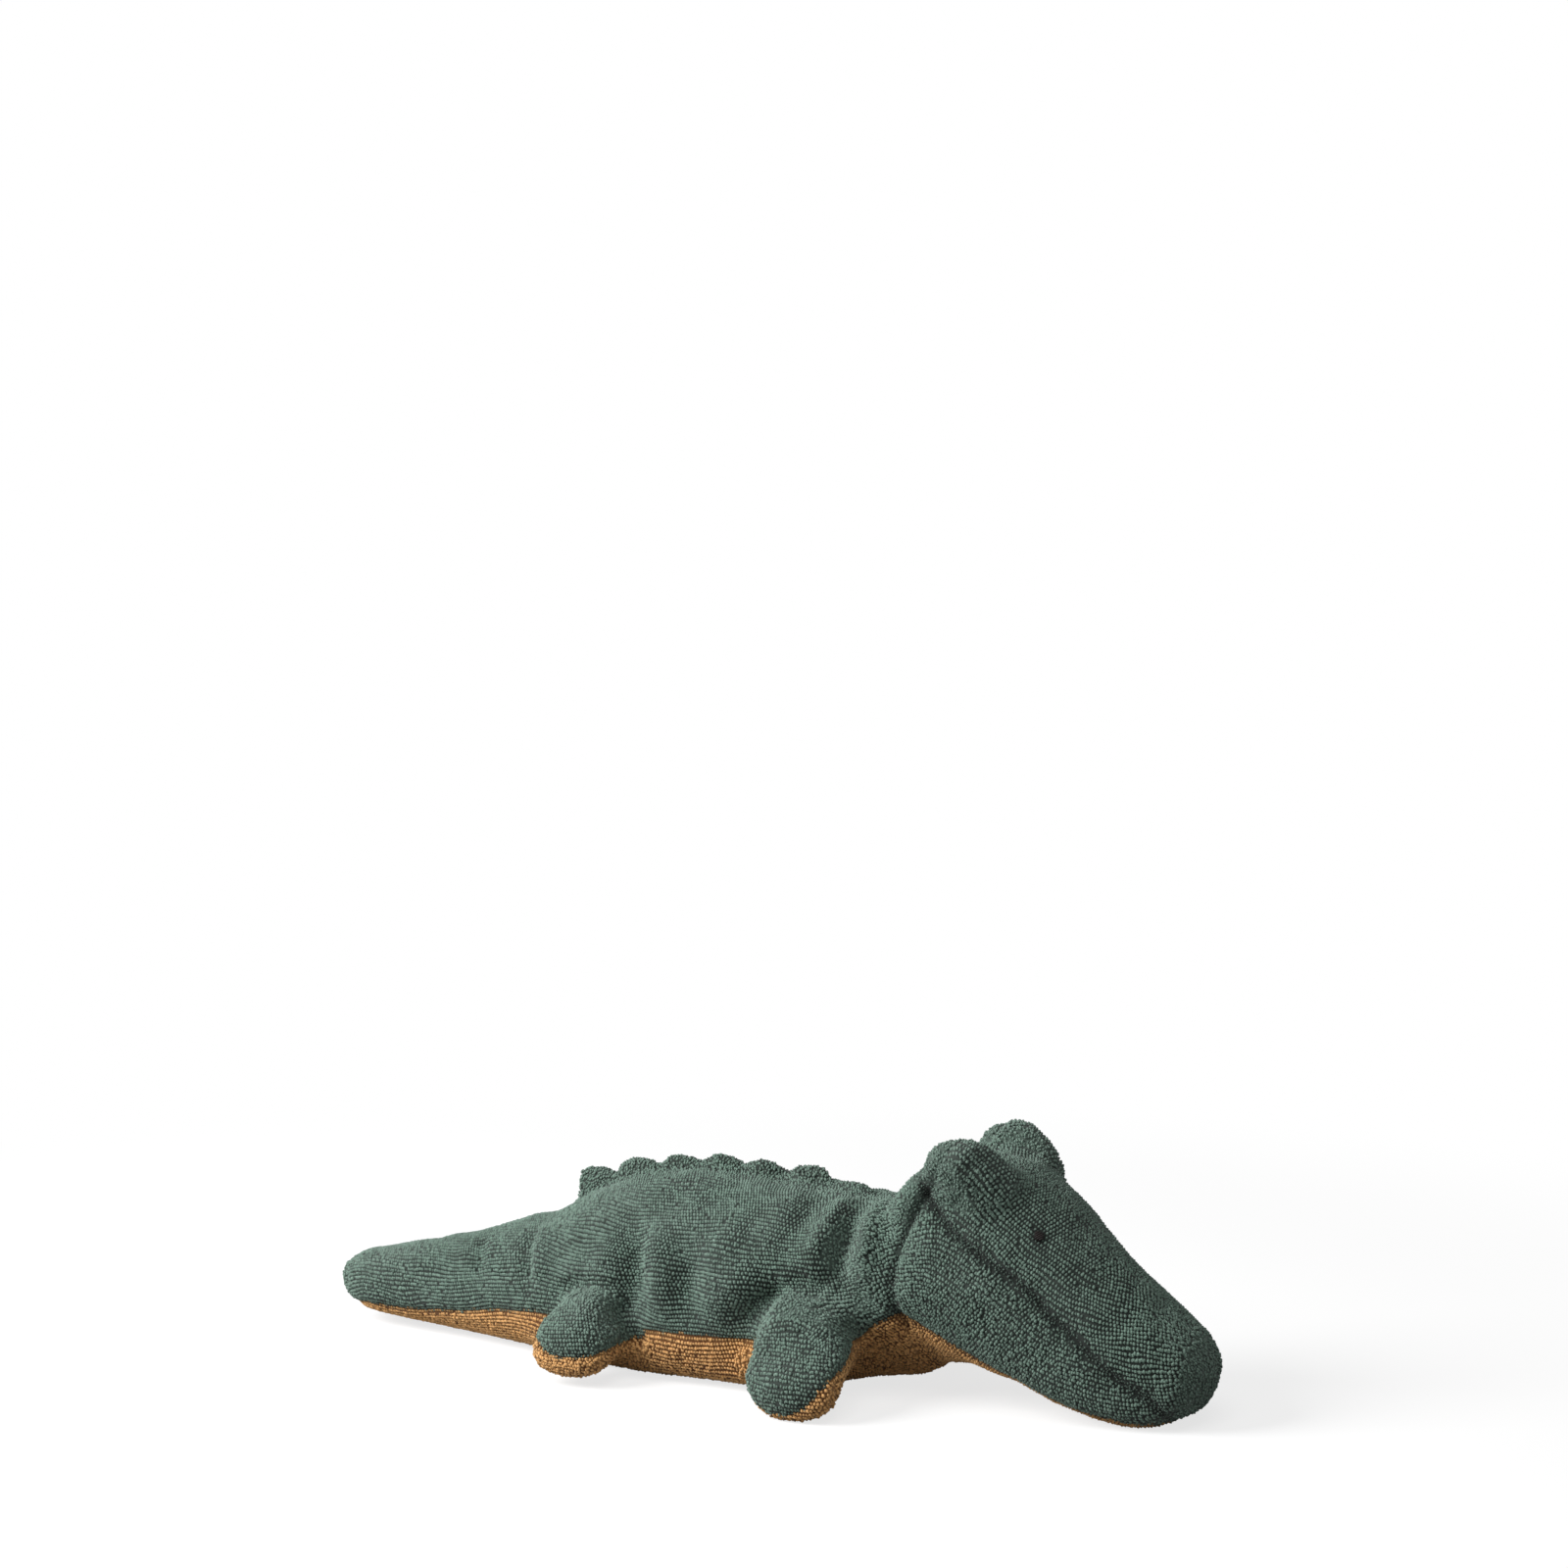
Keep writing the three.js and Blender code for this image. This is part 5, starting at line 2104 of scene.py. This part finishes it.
@dataclass
class Studio:
    """Pale floor, soft light and the camera."""

    target: Point = (14.4, 0.0, 45.0)
    distance: float = 1700.0
    azimuth_degrees: float = 27.0
    elevation_degrees: float = 13.0
    look_down_degrees: float = 5.46
    lens: float = 85.0
    sensor: float = 36.0
    lamps: tuple[Lamp, ...] = (
        Lamp("key", -47.0, 33.0, 1.5, 0.9, 27.0),
        Lamp("fill", 25.0, 58.0, 2.0, 1.4, 9.0),
    )
    # the sky's strength in the light that it gives, and as the camera sees it
    sky: float = 0.14
    white: float = 1.0
    half_floor: float = 6000.0
    # the floor near the toy takes its shadow, and from the first to the second distance it turns to plain white
    near_metres: float = 0.3
    far_metres: float = 0.7
    paper: float = 0.36
    floor_glow: float = 0.74
    far_floor_light: float = 0.15

    @staticmethod
    def direction(azimuth: float, elevation: float) -> Vector:
        """Direction from the toy towards a place round it, in degrees."""
        a, e = math.radians(azimuth), math.radians(elevation)
        return Vector((math.sin(a) * math.cos(e), -math.cos(a) * math.cos(e), math.sin(e)))

    @staticmethod
    def aimed(name: str, data: bpy.types.ID, place: Vector, back: Vector) -> bpy.types.Object:
        """Adds a camera or a lamp.

        Args:
            name: Its name.
            data: Its data.
            place: Where it stands.
            back: The direction behind it.

        Returns:
            The new object.
        """
        made = bpy.data.objects.new(name, data)
        bpy.context.scene.collection.objects.link(made)
        made.location = place
        made.rotation_euler = (-back).to_track_quat("-Z", "Y").to_euler()
        return made

    def camera(self) -> None:
        """Sets up the camera of the photograph."""
        data = bpy.data.cameras.new("camera")
        data.lens = self.lens
        data.sensor_width = self.sensor
        data.clip_end = 20.0
        back = self.direction(self.azimuth_degrees, self.elevation_degrees)
        place = (Vector(self.target) + back * self.distance) * MM
        view = self.direction(self.azimuth_degrees, self.look_down_degrees)
        bpy.context.scene.camera = self.aimed("camera", data, place, view)

    def light(self) -> None:
        """Adds the lamps."""
        for lamp in self.lamps:
            data = bpy.data.lights.new(lamp.name, "AREA")
            data.shape = "DISK"
            data.size = lamp.size
            data.energy = lamp.watts
            back = self.direction(lamp.azimuth, lamp.elevation)
            self.aimed(lamp.name, data, Vector(self.target) * MM + back * lamp.distance, back)

    @staticmethod
    def straight(tree: Tree) -> bpy.types.NodeSocket:
        """Tells what the camera sees from what only lights the scene.

        Args:
            tree: The tree that gets the nodes.

        Returns:
            1 where the camera sees the surface, also in a mirror or through glass, and 0 for its light.
        """
        seen = tree.add("ShaderNodeLightPath").outputs
        mirrored = tree.maths("MAXIMUM", seen["Is Glossy Ray"], seen["Is Transmission Ray"])
        return tree.maths("MAXIMUM", seen["Is Camera Ray"], mirrored)

    def floor(self) -> None:
        """Adds the floor: paper that glows as the camera sees it, so that only the shadow stays."""
        corners = np.array([[-1, -1, 0], [1, -1, 0], [1, 1, 0], [-1, 1, 0]]) * self.half_floor
        floor = bare_object("floor", corners, [(0, 1, 2, 3)])
        material = bpy.data.materials.new("floor")
        tree = blank(material)
        straight = self.straight(tree)
        place = tree.add("ShaderNodeTexCoord").outputs["Object"]
        apart = tree.add("ShaderNodeVectorMath", {0: place}, operation="LENGTH").outputs["Value"]
        ends = {1: self.near_metres, 2: self.far_metres}
        far = tree.add("ShaderNodeMapRange", {0: apart, **ends}, interpolation_type="SMOOTHSTEP").outputs[0]
        paper = tree.add("ShaderNodeBsdfDiffuse", {"Color": (self.paper, self.paper, self.paper, 1)})
        glow = tree.add("ShaderNodeEmission", {"Strength": tree.maths("MULTIPLY", straight, self.floor_glow)})
        both = tree.add("ShaderNodeAddShader", {0: paper.outputs[0], 1: glow.outputs[0]})
        light = self.far_floor_light
        strength = tree.maths("MULTIPLY_ADD", straight, self.white - light, light)
        plain = tree.add("ShaderNodeEmission", {"Strength": strength})
        whole = tree.add("ShaderNodeMixShader", {0: far, 1: both.outputs[0], 2: plain.outputs[0]})
        tree.add("ShaderNodeOutputMaterial", {0: whole.outputs[0]})
        floor.data.materials.append(material)

    def world(self) -> None:
        """Adds a soft sky that looks white."""
        world = bpy.data.worlds.new("sky")
        bpy.context.scene.world = world
        tree = blank(world)
        strength = tree.maths("MULTIPLY_ADD", self.straight(tree), self.white - self.sky, self.sky)
        sky = tree.add("ShaderNodeBackground", {"Color": (1, 1, 1, 1), "Strength": strength})
        tree.add("ShaderNodeOutputWorld", {0: sky.outputs[0]})

    def build(self) -> None:
        """Sets up camera, lamps, floor and sky."""
        bpy.context.scene.view_settings.view_transform = "Standard"
        self.camera()
        self.light()
        self.floor()
        self.world()


def main() -> None:
    """Builds the toy piece by piece and dresses it."""
    Studio().build()
    finishes = {
        Slot.GREEN: GREEN_TERRY.material(),
        Slot.TAN: TAN_TERRY.material(),
        Slot.THREAD: EYE_THREAD.material(),
    }
    body = Body()
    skin = body.skin()
    log.info("skin: %d points", len(skin.points))
    panels = Cutter(skin).panels(body.trunk)
    upholsterer = Upholsterer(skin, Knit(body).laid(skin), finishes)
    for seed, (name, faces) in enumerate(panels.items()):
        piece = upholsterer.piece(f"{name}_terry", faces, cloth_of(name), seed)
        carrier = body_of(name)
        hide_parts(name, *stuffing_of(name))
        if carrier in BENDS and name != "back_scute_strip":
            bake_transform(piece)
        else:
            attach(piece, carrier)
        log.info("%s: %d faces on %s", name, len(piece.data.polygons), carrier)
    for eye in Eyes().build(skin, finishes[Slot.THREAD]):
        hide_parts(eye.name.replace("_stitches", ""))
        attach(eye, "head")
        log.info("%s: embroidered", eye.name)


if __name__ == "__main__":
    logging.basicConfig(level=logging.INFO)
    main()
